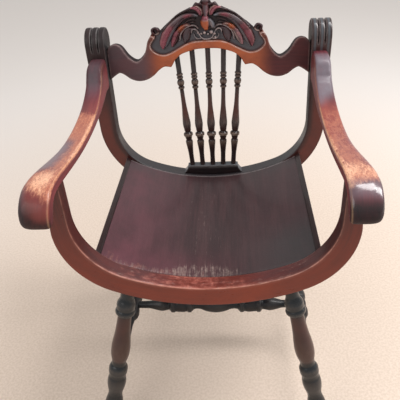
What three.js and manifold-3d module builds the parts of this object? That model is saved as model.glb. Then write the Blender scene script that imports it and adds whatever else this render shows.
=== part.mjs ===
import * as THREE from "three";
import { mergeVertices } from "three/addons/utils/BufferGeometryUtils.js";
import Module from "manifold-3d";

// Armchair on two U-shaped bows, with sawn arms, a carved crest rail over five turned spindles,
// a dished seat and four splayed turned legs joined by an H of turned stretchers.
// Millimetres, +Z up. The chair faces -Y. While the pieces are made, Y is zero at the front face of
// the front bow and Z is zero on the floor. The finished group is then centred over its footprint.
// Left and right are those of somebody who looks at the chair's front.

const wasm = await Module();
wasm.setup();

// Fits
const fitGap = 0.3;
const cutOverrun = 4;

// Bows: the inner line of each is a wide arc under the seat, a corner arc and a straight upright
const seatHeight = 433;
const seatDepth = 447;
const bowThick = 38;
const bowBand = 50;
const innerBottomRadius = 460;
const innerTurn = 22;
const frontBow = {
  innerHalf: 272, sideWidth: 39, topWidth: 31, outerBottomRadius: 505, outerTurn: 24,
};
const rearBow = {
  innerHalf: 254, sideWidth: 44, topWidth: 49, outerBottomRadius: 480, outerTurn: 22,
};
const rearLean = 2.5;
const leanPivotRise = 27;
const bowDowelRadius = 4.5;
const bowDowelLength = 48;
const bowDowelShares = [0.28, 0.72];

// Scroll on top of each rear post
const scrollRadius = 38;
const scrollTopHeight = 847;
const scrollGroove = 4.5;
const scrollLobes = 3;

// Arms
const armInnerInset = 1;
const armOuterInset = 6;
const armOverhang = 11;
const armThick = 21;
const armLowHeight = 700;
const armRise = 40;
const armFront = -100;
const armSeatDepth = 6;
const armDowelRadius = 5;
const armDowelLength = 44;
const armPostDowelLength = 46;

// Seat
const seatThick = 12;
const seatDrop = 0.5;
const seatHalfFront = 243;
const seatHalfRear = 236;
const railWidth = 11;
const railDepth = 26;
const railProud = 2;
const battenDepth = 24;
const battenThick = 16;
const battenHalf = 150;

// Back: the crest and the spindles lean together from the top of the spindle block
const backLean = 4.8;
const blockHeight = 28;
const blockThick = 22;
const blockHalf = 82;
const crestThick = 28;
const crestLow = 711;
const crestRise = 198;
const fieldDepth = 8;
const leafBase = 3;
const earRadius = 9;
const crestDowelRadius = 5;
const crestDowelLength = 44;
const crestDowelShare = 0.21;
const spindleCount = 5;
const spindleRadius = 12;
const spindleBlockInset = 10.2;
const spindleArchInset = 13.9;
const spindleLength = 326;
const spindleTenonLength = 14;

// Legs: top point on the underside of the bow, foot point on the floor
const legRadius = 23;
const legTenonRadius = 11;
const legTenonLength = 28;
const frontLeg = { topHalf: 179, topBack: 22, footHalf: 267, footBack: -50 };
const rearLegSplayBack = 40;
const rearLeg = {
  topHalf: 170,
  topBack: seatDepth + bowThick / 2,
  footHalf: 256,
  footBack: seatDepth + bowThick / 2 + rearLegSplayBack,
};

// Stretchers
const stretcherHeight = 143;
const sideStretcherRadius = 20;
const crossStretcherRadius = 23;
const stretcherStop = 5;

// Outline of half of the crest rail: shares of its half width and of its rise, in smooth runs
const crestWingShares = [[1, 0.4], [0.969, 0.465], [0.918, 0.49], [0.867, 0.465], [0.788, 0.313],
  [0.709, 0.255], [0.626, 0.354], [0.583, 0.51], [0.559, 0.56]];
const crestEarShares = [[0.559, 0.56], [0.54, 0.601], [0.54, 0.652], [0.512, 0.679], [0.48, 0.677],
  [0.453, 0.631]];
const crestBrowShares = [[0.453, 0.631], [0.394, 0.697], [0.268, 0.828], [0.126, 0.904]];
const crestFinialShares = [[0.126, 0.904], [0.094, 0.949], [0.059, 0.944], [0.035, 0.985], [0, 1]];
const crestArchShares = [[0, 0.394], [0.11, 0.386], [0.197, 0.359], [0.268, 0.323], [0.323, 0.263],
  [0.354, 0.197], [0.37, 0.169]];
const crestBellyShares = [[0.37, 0.169], [0.437, 0.177], [0.488, 0.141], [0.559, 0.061], [0.63, 0.013],
  [0.709, 0], [0.787, 0.03], [0.85, 0.091], [0.894, 0.116], [0.941, 0.086], [1, 0.03]];
const fieldShares = [[0, 0.49], [0.126, 0.482], [0.213, 0.449], [0.287, 0.399], [0.366, 0.348],
  [0.425, 0.326], [0.48, 0.336], [0.535, 0.381], [0.567, 0.444], [0.567, 0.49]];
const earShare = [0.503, 0.635];

// Carved leaves: height over the field, then along the leaf the shares of the crest's half width and
// rise, and the share of the leaf's own half width
const leaves = [
  { height: 9, half: 5, shares: [[0.449, 0.611, 0.5], [0.378, 0.682, 0.7], [0.307, 0.763, 0.8],
    [0.224, 0.828, 1], [0.142, 0.864, 1], [0.079, 0.864, 1], [0.051, 0.818, 0.6]] },
  { height: 11, half: 11, shares: [[0.11, 0.798, 0.35], [0.169, 0.808, 0.5], [0.236, 0.778, 0.65],
    [0.295, 0.722, 0.75], [0.354, 0.646, 0.85], [0.406, 0.576, 0.95], [0.437, 0.505, 1],
    [0.437, 0.434, 0.5]] },
  { height: 9, half: 6, shares: [[0.087, 0.732, 0.5], [0.157, 0.717, 0.6], [0.228, 0.687, 0.75],
    [0.283, 0.641, 0.9], [0.323, 0.576, 1], [0.35, 0.5, 1], [0.358, 0.449, 0.5]] },
  { height: 6, half: 2.5, shares: [[0.079, 0.646, 0.7], [0.134, 0.687, 1], [0.189, 0.682, 1],
    [0.232, 0.636, 1], [0.26, 0.571, 1], [0.272, 0.495, 0.6]] },
  { height: 6, half: 6, shares: [[0.118, 0.652, 0.5], [0.169, 0.641, 1], [0.205, 0.591, 1],
    [0.22, 0.52, 0.5]] },
  { height: 7, half: 3, shares: [[0.142, 0.621, 0.7], [0.122, 0.601, 1], [0.102, 0.561, 1],
    [0.075, 0.525, 1], [0.028, 0.51, 0.9]] },
];
const centreLobes = [
  { height: 14, half: 13, shares: [[0, 0.798, 0.45], [0, 0.758, 0.8], [0, 0.717, 1], [0, 0.672, 0.85],
    [0, 0.631, 0.4]] },
  { height: 11, half: 10, shares: [[0, 0.929, 0.7], [0, 0.874, 0.9], [0, 0.813, 0.6]] },
  { height: 13, half: 9, shares: [[0, 0.992, 0.4], [0, 0.955, 1], [0, 0.915, 0.7]] },
];

// Section of a scroll's lobe: shares of the lobe's width and of the groove's depth
const scrollLobeShares = [[0, 0.2], [0.15, 0.8], [0.5, 1], [0.85, 0.8]];

// Half outline of the spindle block: shares of its half width and of its height over the seat
const blockShares = [[0.82, 1], [0.85, 0.78], [0.915, 0.5], [1, 0.2], [1, -0.5]];

// Arm sections from the post to the handhold: shares of the run, of the rise, of the thickness (to
// each side of the middle line), of the way from the back width to the front width, and of the inset
const armShares = [[0, 1, 1.9, 0, 0], [0.035, 1, 1.95, 0, 0], [0.065, 0.975, 1.95, 0, 0],
  [0.094, 0.775, 1.62, 0, 0], [0.122, 0.5625, 1.26, 0, 0], [0.165, 0.3625, 1.02, 0, 0],
  [0.23, 0.1625, 0.786, 0, 0], [0.319, 0.0375, 0.595, 0, 0], [0.425, 0.0125, 0.5, 0, 0],
  [0.531, 0.1, 0.476, 0, 0], [0.628, 0.2625, 0.476, 0.1, 0], [0.717, 0.475, 0.5, 0.35, 0],
  [0.805, 0.7125, 0.548, 0.65, 0], [0.885, 0.9, 0.595, 0.9, 0], [0.938, 0.9, 0.667, 1, 0],
  [0.972, 0.7, 0.762, 1, 0], [0.993, 0.4, 0.833, 1, 0], [1, 0.1, 0.857, 1, 0.01],
  [0.998, -0.175, 0.667, 1, 0.04], [0.996, -0.325, 0.38, 1, 0.12]];
const armRoundness = 3.4;

// Turned profiles: share of the length, share of the largest radius
const legShares = [[0, 0.565], [0.029, 0.65], [0.084, 0.8], [0.144, 0.955], [0.183, 0.98],
  [0.215, 0.92], [0.245, 0.8], [0.268, 0.74], [0.285, 0.76], [0.305, 0.83], [0.33, 0.935],
  [0.36, 0.985], [0.387, 0.95], [0.405, 0.89], [0.42, 0.91], [0.44, 0.98], [0.462, 0.98],
  [0.48, 0.86], [0.492, 0.73], [0.52, 0.77], [0.545, 0.88], [0.575, 0.96], [0.61, 0.975],
  [0.65, 0.92], [0.7, 0.81], [0.75, 0.74], [0.8, 0.7], [0.835, 0.69], [0.845, 0.8], [0.86, 0.92],
  [0.88, 0.985], [0.9, 0.98], [0.92, 0.86], [0.935, 0.72], [0.95, 0.65], [1, 0.65]];
const spindleShares = [[0, 0.5], [0.06, 0.47], [0.1, 0.48], [0.14, 0.59], [0.18, 0.7], [0.214, 0.79],
  [0.224, 0.78], [0.235, 0.63], [0.246, 0.68], [0.257, 0.75], [0.267, 0.79], [0.277, 0.98],
  [0.291, 0.98], [0.301, 0.76], [0.309, 0.6], [0.317, 0.73], [0.34, 0.79], [0.36, 0.87], [0.38, 0.9],
  [0.4, 0.87], [0.43, 0.79], [0.46, 0.72], [0.5, 0.61], [0.54, 0.52], [0.6, 0.46], [0.672, 0.43],
  [0.681, 0.48], [0.687, 0.58], [0.697, 0.57], [0.703, 0.48], [0.718, 0.65], [0.735, 0.7],
  [0.75, 0.6], [0.76, 0.47], [0.769, 0.57], [0.779, 0.59], [0.786, 0.5], [0.794, 0.6], [0.803, 0.61],
  [0.811, 0.5], [0.85, 0.52], [1, 0.52]];
const sideStretcherShares = [[0, 0.42], [0.12, 0.46], [0.22, 0.5], [0.3, 0.48], [0.345, 0.47],
  [0.38, 0.56], [0.398, 0.64], [0.408, 0.8], [0.42, 0.94], [0.44, 1], [0.458, 0.97], [0.472, 0.88],
  [0.5, 0.92]];
const crossStretcherShares = [[0, 0.42], [0.09, 0.46], [0.13, 0.65], [0.17, 0.78], [0.19, 0.72],
  [0.212, 0.64], [0.22, 0.8], [0.229, 0.98], [0.242, 0.98], [0.252, 0.88], [0.275, 0.92], [0.3, 0.94],
  [0.322, 0.87], [0.333, 0.98], [0.346, 0.98], [0.356, 0.8], [0.367, 0.6], [0.385, 0.54],
  [0.405, 0.58], [0.43, 0.76], [0.46, 0.92], [0.5, 1]];

// Counts that set how finely round shapes are cut
const legSides = 12;
const spindleSides = 8;
const stretcherSides = 12;
const dowelSides = 12;
const scrollSides = 20;
const armRingPoints = 12;
const armRingsPerStation = 1.25;
const arcSteps = 20;
const armSearchSteps = 10;
const seatSteps = 16;
const leafSteps = 1.5;
const leafArch = 3;

const finishes = {
  frame: { color: 0x6b3226, roughness: 0.38 },
  arm: { color: 0x8a4a2c, roughness: 0.32 },
  crest: { color: 0x5c2c22, roughness: 0.4 },
  seat: { color: 0x4a2f2c, roughness: 0.3 },
  turned: { color: 0x3a2a25, roughness: 0.35 },
  dowel: { color: 0xb08a5a, roughness: 0.7 },
};

const chair = new THREE.Group();

// Solids

function toSolid(geometry) {
  const bare = geometry.clone();
  bare.deleteAttribute("normal");
  bare.deleteAttribute("uv");
  const merged = mergeVertices(bare);
  const mesh = new wasm.Mesh({
    numProp: 3,
    vertProperties: new Float32Array(merged.attributes.position.array),
    triVerts: new Uint32Array(merged.index.array),
  });
  return new wasm.Manifold(mesh);
}

function toGeometry(solid) {
  const mesh = solid.getMesh();
  const geometry = new THREE.BufferGeometry();
  geometry.setAttribute("position", new THREE.BufferAttribute(mesh.vertProperties, mesh.numProp));
  geometry.setIndex(new THREE.BufferAttribute(mesh.triVerts, 1));
  geometry.computeVertexNormals();
  return geometry;
}

function cut(solid, ...tools) {
  return tools.reduce((rest, tool) => rest.subtract(tool), solid);
}

function join(...solids) {
  return solids.reduce((sum, next) => sum.add(next));
}

function addPiece(name, solid, finish) {
  const material = new THREE.MeshStandardMaterial({ ...finishes[finish], metalness: 0 });
  const mesh = new THREE.Mesh(toGeometry(solid), material);
  mesh.name = name;
  chair.add(mesh);
}

function radians(degrees) {
  return THREE.MathUtils.degToRad(degrees);
}

// Turns what was built upright back about a level line through the given depth and height
function leanMatrix(degrees, depth, height) {
  const matrix = new THREE.Matrix4().makeTranslation(0, depth, height);
  matrix.multiply(new THREE.Matrix4().makeRotationX(-radians(degrees)));
  return matrix.multiply(new THREE.Matrix4().makeTranslation(0, -depth, -height));
}

const leanPivotHeight = seatHeight + leanPivotRise;
const bowLeanMatrix = leanMatrix(rearLean, seatDepth, leanPivotHeight);
const backDepth = seatDepth + bowThick / 2;
const blockTop = seatHeight + blockHeight;
const backLeanMatrix = leanMatrix(backLean, backDepth, blockTop);

// A board in an upright plane: the outline gives X and Z, and the thickness runs back from depth
function board(points, depth, thickness) {
  const shape = new THREE.Shape(points.map(([x, z]) => new THREE.Vector2(x, z)));
  const geometry = new THREE.ExtrudeGeometry(shape, { depth: thickness, bevelEnabled: false });
  return geometry.rotateX(Math.PI / 2).translate(0, depth + thickness, 0);
}

function mirrored(solid) {
  return solid.mirror([1, 0, 0]);
}

// A turned piece on the line between two points: profile pairs give the distance and the radius
function turned(from, to, profile, sides) {
  const points = profile.map(([along, radius]) => new THREE.Vector2(radius, along));
  points.unshift(new THREE.Vector2(0, points[0].y));
  points.push(new THREE.Vector2(0, points[points.length - 1].y));
  const axis = to.clone().sub(from).normalize();
  const geometry = new THREE.LatheGeometry(points, sides);
  const turn = new THREE.Quaternion().setFromUnitVectors(new THREE.Vector3(0, 1, 0), axis);
  return toSolid(geometry.applyQuaternion(turn).translate(from.x, from.y, from.z));
}

function rod(from, to, radius, sides) {
  return turned(from, to, [[0, radius], [from.distanceTo(to), radius]], sides);
}

// The hole for a rod: wider by the gap and longer by the gap at each end
function hole(from, to, radius, sides) {
  const reach = to.clone().sub(from).setLength(fitGap);
  return rod(from.clone().sub(reach), to.clone().add(reach), radius + fitGap, sides);
}

function applied(solid, matrix) {
  return solid.transform(matrix.elements);
}

// Fills a flat ring, which may be hollow on one side
function capTriangles(ring) {
  const normal = new THREE.Vector3();
  ring.forEach((point, place) => {
    normal.add(point.clone().cross(ring[(place + 1) % ring.length]));
  });
  const across = ring[1].clone().sub(ring[0]).normalize();
  const up = normal.normalize().clone().cross(across);
  const flat = ring.map((point) => new THREE.Vector2(point.dot(across), point.dot(up)));
  return THREE.ShapeUtils.triangulateShape(flat, []);
}

// Skins a row of rings that have the same number of points, and closes both ends
function loft(rings) {
  const count = rings[0].length;
  const vertices = rings.flat();
  const triangles = [];
  for (let ring = 0; ring + 1 < rings.length; ring += 1) {
    for (let point = 0; point < count; point += 1) {
      const a = ring * count + point;
      const b = ring * count + ((point + 1) % count);
      triangles.push(a, b, b + count, a, b + count, a + count);
    }
  }
  const last = (rings.length - 1) * count;
  capTriangles(rings[0]).forEach(([a, b, c]) => triangles.push(a, c, b));
  capTriangles(rings[rings.length - 1]).forEach((cap) => triangles.push(...cap.map((i) => last + i)));
  const geometry = new THREE.BufferGeometry().setFromPoints(vertices);
  geometry.setIndex(triangles);
  const solid = toSolid(geometry);
  return solid.volume() > 0 ? solid : toSolid(flipped(geometry));
}

function flipped(geometry) {
  const index = geometry.index.array;
  for (let corner = 0; corner < index.length; corner += 3) {
    [index[corner], index[corner + 1]] = [index[corner + 1], index[corner]];
  }
  return geometry;
}

function smooth(points, stepsPerSpan) {
  const curve = new THREE.CatmullRomCurve3(points, false, "centripetal");
  return curve.getPoints(Math.round((points.length - 1) * stepsPerSpan));
}

// Bows

// A point of a bow's line at a turn in degrees: bottom arc first, then the corner arc
function bowPoint(line, turn) {
  const bottomTurn = Math.min(turn, line.bottomTurn);
  const x = line.bottomRadius * Math.sin(radians(bottomTurn));
  const z = line.floor + line.bottomRadius * (1 - Math.cos(radians(bottomTurn)));
  const past = Math.max(turn, line.bottomTurn);
  const cornerX = line.cornerRadius * (Math.sin(radians(past)) - Math.sin(radians(line.bottomTurn)));
  const cornerZ = line.cornerRadius * (Math.cos(radians(line.bottomTurn)) - Math.cos(radians(past)));
  return [x + cornerX, z + cornerZ];
}

function bowLine(floor, half, bottomRadius, bottomTurn) {
  const bottomSine = Math.sin(radians(bottomTurn));
  const cornerRadius = (half - bottomRadius * bottomSine) / (1 - bottomSine);
  return { floor, half, bottomRadius, bottomTurn, cornerRadius };
}

// Moves a line away from the middle of the seat, or towards it where the distance is negative
function offsetLine(line, distance) {
  return {
    ...line,
    floor: line.floor - distance,
    half: line.half + distance,
    bottomRadius: line.bottomRadius + distance,
    cornerRadius: line.cornerRadius + distance,
  };
}

function innerLine(bow) {
  return bowLine(seatHeight, bow.innerHalf, innerBottomRadius, innerTurn);
}

function outerLine(bow) {
  return bowLine(seatHeight - bowBand, bow.innerHalf + bow.sideWidth, bow.outerBottomRadius, bow.outerTurn);
}

function topOuter(bow) {
  return bow.innerHalf + bow.topWidth;
}

function linePoints(line) {
  return Array.from({ length: arcSteps + 1 }, (_, step) => bowPoint(line, (90 * step) / arcSteps));
}

function bowHalf(bow, depth, topHeight, grow) {
  const inner = offsetLine(innerLine(bow), -grow);
  const outer = offsetLine(outerLine(bow), grow);
  const seam = grow > 0 ? -cutOverrun : fitGap / 2;
  const outline = [
    [seam, inner.floor],
    ...linePoints(inner).slice(1),
    [inner.half, topHeight],
    [topOuter(bow) + grow, topHeight],
    ...linePoints(outer).slice(1).reverse(),
    [seam, outer.floor],
  ];
  return toSolid(board(outline, depth - grow, bowThick + 2 * grow));
}

function bothSides(solid) {
  return join(solid, mirrored(solid));
}

// Arms

const armInnerHalf = rearBow.innerHalf + armInnerInset;
const armOuterBackHalf = topOuter(rearBow) - armOuterInset;
const armOuterFrontHalf = topOuter(frontBow) + armOverhang;

function armStations() {
  const back = postFaceDepth(armLowHeight + armRise) + armSeatDepth;
  return armShares.map(([run, rise, thick, widen, inset]) => ({
    middle: new THREE.Vector3(0, back + (armFront - back) * run, armLowHeight + armRise * rise),
    sizes: new THREE.Vector3(
      armThick * thick,
      armOuterBackHalf + (armOuterFrontHalf - armOuterBackHalf) * widen,
      inset * (armOuterFrontHalf - armInnerHalf),
    ),
  }));
}

function postFaceDepth(height) {
  return seatDepth + (height - leanPivotHeight) * Math.tan(radians(rearLean));
}

function armSolid(grow) {
  const stations = armStations();
  const middles = smooth(stations.map((station) => station.middle), armRingsPerStation);
  const sizes = smooth(stations.map((station) => station.sizes), armRingsPerStation);
  const rings = middles.map((middle, place) => {
    const before = middles[Math.max(place - 1, 0)];
    const after = middles[Math.min(place + 1, middles.length - 1)];
    const along = after.clone().sub(before).normalize();
    const up = new THREE.Vector3(0, along.z, -along.y);
    const inner = armInnerHalf + sizes[place].z;
    const outer = sizes[place].y - sizes[place].z;
    const ring = [];
    for (let point = 0; point < armRingPoints; point += 1) {
      const angle = (2 * Math.PI * (point + 0.5)) / armRingPoints;
      const power = 2 / armRoundness;
      const across = Math.sign(Math.cos(angle)) * Math.abs(Math.cos(angle)) ** power;
      const rise = Math.sign(Math.sin(angle)) * Math.abs(Math.sin(angle)) ** power;
      const corner = middle.clone().addScaledVector(up, (sizes[place].x + grow) * rise);
      corner.x = (inner + outer) / 2 + ((outer - inner) / 2 + grow) * across;
      ring.push(corner);
    }
    return ring;
  });
  return loft(rings);
}

// The height of the arm's middle line where it passes over the front bow
function armMiddleAt(depth) {
  const middles = smooth(armStations().map((station) => station.middle), armSearchSteps);
  const nearest = middles.reduce((best, next) => (
    Math.abs(next.y - depth) < Math.abs(best.y - depth) ? next : best));
  return nearest.z;
}

// Places shared by the pieces

const bowMiddle = bowThick / 2;
const uprightMiddle = frontBow.innerHalf + frontBow.topWidth / 2;
const armOverBow = armMiddleAt(bowMiddle);
const frontTop = armOverBow;
const scrollHeight = scrollTopHeight - scrollRadius;

const armDowelTop = new THREE.Vector3(uprightMiddle, bowMiddle, armOverBow + armThick / 5);
const armDowelFoot = armDowelTop.clone().setZ(armDowelTop.z - armDowelLength);
const armPostHeight = armLowHeight + armRise;
const armPostMiddle = (armInnerHalf + armOuterBackHalf) / 2;
const armPostBack = new THREE.Vector3(
  armPostMiddle, postFaceDepth(armPostHeight) + bowThick / 2, armPostHeight);
const armPostFront = armPostBack.clone().setY(armPostBack.y - armPostDowelLength);

// The outer spindles stand a little inside the block's flat top and the crest's arch
const spindleSpans = (spindleCount - 1) / 2;
const archHalf = crestPoint(crestArchShares[crestArchShares.length - 1]).x;
const spindleFootSpacing = (blockShares[0][0] * blockHalf - spindleBlockInset) / spindleSpans;
const spindleTopSpacing = (archHalf - spindleArchInset) / spindleSpans;

function legPoint(leg, height) {
  const share = height / legTopHeight(leg);
  return new THREE.Vector3(
    leg.footHalf + (leg.topHalf - leg.footHalf) * share,
    leg.footBack + (leg.topBack - leg.footBack) * share,
    height,
  );
}

// The leg's top point lies on the underside of its bow
function legTopHeight(leg) {
  const line = outerLine(leg === frontLeg ? frontBow : rearBow);
  return line.floor + line.bottomRadius - Math.sqrt(line.bottomRadius ** 2 - leg.topHalf ** 2);
}

function legTenonEnds(leg) {
  const top = legPoint(leg, legTopHeight(leg));
  const axis = top.clone().sub(legPoint(leg, 0)).normalize();
  const start = top.clone().addScaledVector(axis, -legTenonRadius);
  const end = top.clone().addScaledVector(axis, legTenonLength);
  return [start, end];
}

// Side stretchers run from leg to leg, and the cross stretcher from one of them to the other
const sideFront = legPoint(frontLeg, stretcherHeight);
const sideRear = legPoint(rearLeg, stretcherHeight);
const sideMiddle = sideFront.clone().lerp(sideRear, 0.5);
const sideMiddleLeft = sideMiddle.clone().setX(-sideMiddle.x);

// A stretcher stops short of the middle of what it enters
function shortened(from, to, stop) {
  const step = to.clone().sub(from).setLength(stop);
  return [from.clone().add(step), to.clone().sub(step)];
}

const sideEnds = shortened(sideFront, sideRear, stretcherStop);
const crossEnds = shortened(sideMiddleLeft, sideMiddle, stretcherStop);

function doubled(shares) {
  const back = shares.slice(0, -1).map(([along, radius]) => [1 - along, radius]).reverse();
  return [...shares, ...back];
}

function profile(shares, length, radius) {
  return shares.map(([along, width]) => [along * length, width * radius]);
}

function stretcherSolid(ends, shares, radius) {
  const length = ends[0].distanceTo(ends[1]);
  return turned(ends[0], ends[1], profile(doubled(shares), length, radius), stretcherSides);
}

// The mouth of a stretcher's hole is as wide as the stretcher is where it leaves the leg
function stretcherHole(ends, shares, radius, depth) {
  const reach = ends[1].clone().sub(ends[0]).setLength(depth);
  const far = ends[0].clone().add(reach);
  const length = ends[0].distanceTo(ends[1]);
  const [start, next] = shares;
  const slope = (next[1] - start[1]) / (next[0] - start[0]);
  const mouth = (start[1] + (slope * depth) / length) * radius;
  const step = reach.clone().setLength(fitGap);
  const cone = [[0, start[1] * radius + fitGap], [depth + fitGap, mouth + fitGap]];
  return turned(ends[0].clone().sub(step), far, cone, stretcherSides);
}

// Bow pieces

function bowDowelEnds(depth, share) {
  const height = seatHeight - bowBand * (1 - share);
  const half = bowDowelLength / 2;
  return [new THREE.Vector3(-half, depth, height), new THREE.Vector3(half, depth, height)];
}

function dowelHoles(depth) {
  return bowDowelShares.map((share) => hole(...bowDowelEnds(depth, share), bowDowelRadius, dowelSides));
}

function frontBowHalf() {
  const half = bowHalf(frontBow, 0, frontTop, 0);
  return cut(
    half,
    armSolid(fitGap),
    hole(armDowelFoot, armDowelTop, armDowelRadius, dowelSides),
    hole(...legTenonEnds(frontLeg), legTenonRadius, dowelSides),
    ...dowelHoles(bowMiddle),
  );
}

// Three rounded lobes side by side, with grooves between them, roll over the top of the post
function scrollSolid(grow) {
  const width = rearBow.topWidth + 2 * grow;
  const lobes = Array.from({ length: scrollLobes }, (_, lobe) => scrollLobeShares.map(
    ([across, rise]) => [lobe + across, rise]));
  const shares = [...lobes.flat(), [scrollLobes, scrollLobeShares[0][1]]];
  const points = shares.map(([across, rise]) => [
    (across / scrollLobes) * width, scrollRadius + grow - scrollGroove * (1 - rise)]);
  const depth = seatDepth + scrollRadius;
  const from = new THREE.Vector3(rearBow.innerHalf - grow, depth, scrollHeight);
  const to = new THREE.Vector3(topOuter(rearBow) + grow, depth, scrollHeight);
  return turned(from, to, points, scrollSides);
}

function rearBowHalf(grow) {
  const flat = join(bowHalf(rearBow, seatDepth, scrollHeight, grow), scrollSolid(grow));
  return applied(flat, bowLeanMatrix);
}

function rearDowelEnds(share) {
  return bowDowelEnds(seatDepth + bowMiddle, share).map((end) => end.applyMatrix4(bowLeanMatrix));
}

// Back pieces are built upright and leaned together

function crestPoint([across, rise]) {
  const half = rearBow.innerHalf - fitGap;
  return new THREE.Vector3(across * half, 0, crestLow + crestRise * rise);
}

function crestRun(shares) {
  return smooth(shares.map(crestPoint), 2).map((point) => [point.x, point.z]);
}

// Joins runs end to start into one line
function crestLine(runs) {
  const points = runs.flatMap((shares) => crestRun(shares).slice(0, -1));
  return [...points, crestRun(runs[runs.length - 1]).pop()];
}

function otherSide(points) {
  return points.map(([x, z]) => [-x, z]).reverse();
}

function crestBoard() {
  const upper = crestLine([crestWingShares, crestEarShares, crestBrowShares, crestFinialShares]);
  const lower = crestLine([crestArchShares, crestBellyShares]);
  const outline = [...upper, ...otherSide(upper).slice(1), ...otherSide(lower), ...lower.slice(1)];
  return toSolid(board(outline, backDepth - crestThick / 2, crestThick));
}

function fieldCutter() {
  const line = crestRun(fieldShares);
  const edge = line[line.length - 1][0];
  const above = crestLow + crestRise + cutOverrun;
  const outline = [[-edge, above], ...otherSide(line).slice(0, -1), ...line, [edge, above]];
  return toSolid(board(outline, backDepth - crestThick / 2 - cutOverrun, fieldDepth + cutOverrun));
}

// A rounded rib that stands on the carved field, with its foot sunk in the wood behind it
function leafSolid({ height, half, shares }) {
  const stations = shares.map((share) => crestPoint(share).setY(share[2] * half));
  const path = smooth(stations, leafSteps);
  const field = backDepth - crestThick / 2 + fieldDepth;
  const rings = path.map((place, order) => {
    const before = path[Math.max(order - 1, 0)];
    const after = path[Math.min(order + 1, path.length - 1)];
    const along = new THREE.Vector2(after.x - before.x, after.z - before.z).normalize();
    const width = place.y;
    const crown = height * Math.min(1, (2 * width) / half);
    const ring = [];
    for (let step = 0; step <= leafArch; step += 1) {
      const angle = (Math.PI * step) / leafArch;
      const across = width * Math.cos(angle);
      ring.push(new THREE.Vector3(
        place.x + along.y * across, field - crown * Math.sin(angle), place.z - along.x * across));
    }
    const foot = [ring[leafArch], ring[0]].map((edge) => edge.clone().setY(field + leafBase));
    return [...ring, ...foot];
  });
  return loft(rings);
}

function earSolid() {
  const centre = crestPoint(earShare);
  const front = new THREE.Vector3(centre.x, backDepth - crestThick / 2 - fitGap, centre.z);
  const back = front.clone().setY(backDepth);
  return rod(front, back, earRadius, scrollSides / 2);
}

function crestDowelEnds(side) {
  const half = crestDowelLength / 2;
  const place = crestPoint([1, crestDowelShare]);
  return [-half, half].map((reach) => new THREE.Vector3(
    side * (rearBow.innerHalf + reach), backDepth, place.z).applyMatrix4(backLeanMatrix));
}

function crestSolid() {
  const sideCarving = join(...leaves.map(leafSolid), earSolid());
  const carving = join(bothSides(sideCarving), ...centreLobes.map(leafSolid));
  const whole = join(cut(crestBoard(), fieldCutter()), carving);
  return applied(whole, backLeanMatrix);
}

function spindleEnds(place) {
  const bottomX = place * spindleFootSpacing;
  const topX = place * spindleTopSpacing;
  const bottom = new THREE.Vector3(bottomX, backDepth, blockTop);
  const slope = (topX - bottomX) / spindleLength;
  const archHeight = archAt(topX);
  const top = new THREE.Vector3(bottomX + slope * (archHeight - blockTop), backDepth, archHeight);
  return [bottom, top];
}

// The height of the crest's arched underside at a distance from the middle
function archAt(x) {
  const run = crestRun(crestArchShares);
  const next = run.findIndex(([edge]) => edge >= Math.abs(x));
  if (next <= 0) {
    return run[0][1];
  }
  const [[x0, z0], [x1, z1]] = [run[next - 1], run[next]];
  return z0 + ((z1 - z0) * (Math.abs(x) - x0)) / (x1 - x0);
}

function spindleProfile(place) {
  const [bottom, top] = spindleEnds(place);
  const length = bottom.distanceTo(top);
  const turnings = profile(spindleShares, spindleLength, spindleRadius)
    .filter(([along]) => along < length - spindleTenonLength);
  const plain = spindleShares[spindleShares.length - 1][1] * spindleRadius;
  const foot = spindleShares[0][1] * spindleRadius;
  return [[-spindleTenonLength, foot], ...turnings, [length + spindleTenonLength, plain]];
}

function spindleSolid(place) {
  const [bottom, top] = spindleEnds(place);
  return applied(turned(bottom, top, spindleProfile(place), spindleSides), backLeanMatrix);
}

function spindleHole(place, atTop) {
  const [bottom, top] = spindleEnds(place);
  const axis = top.clone().sub(bottom).normalize();
  const end = atTop ? top : bottom;
  const out = atTop ? 1 : -1;
  const profileEnd = atTop ? spindleShares[spindleShares.length - 1][1] : spindleShares[0][1];
  const inside = end.clone().addScaledVector(axis, out * spindleTenonLength);
  const outside = end.clone().addScaledVector(axis, -out * cutOverrun * 3);
  return applied(hole(outside, inside, profileEnd * spindleRadius, spindleSides), backLeanMatrix);
}

function spindlePlaces() {
  return Array.from({ length: spindleCount }, (_, order) => order - spindleSpans);
}

function blockSolid() {
  const right = blockShares.map(([across, rise]) => [blockHalf * across, seatHeight + blockHeight * rise]);
  return toSolid(board([...right, ...otherSide(right)], backDepth - blockThick / 2, blockThick));
}

// The seat lies on one arc, the bows' bottom arc carried on to both sides, and its pieces are
// ruled from one bow's face to the other's

function seatTurn(half) {
  return Math.asin(half / innerBottomRadius);
}

// A closed ring along the arc: its upper edge one way, then its lower edge back. The lower edge
// lies straight below the upper one, or square to it where the ring is a panel's
function seatRing(fromHalf, toHalf, upper, drop, square, depthAt) {
  const from = seatTurn(fromHalf);
  const to = seatTurn(toHalf);
  const edge = (offset, fall) => Array.from({ length: seatSteps + 1 }, (_, step) => {
    const turn = from + ((to - from) * step) / seatSteps;
    const radius = innerBottomRadius + offset;
    const z = seatHeight + innerBottomRadius - radius * Math.cos(turn) - fall;
    return new THREE.Vector3(radius * Math.sin(turn), depthAt(z), z);
  });
  const lower = square ? edge(upper + drop, 0) : edge(upper, drop);
  return [...edge(upper, 0), ...lower.reverse()];
}

const seatEnds = [
  { half: seatHalfFront, out: -1, depthAt: () => bowThick + fitGap },
  { half: seatHalfRear, out: 1, depthAt: (z) => postFaceDepth(z) - fitGap },
];

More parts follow.
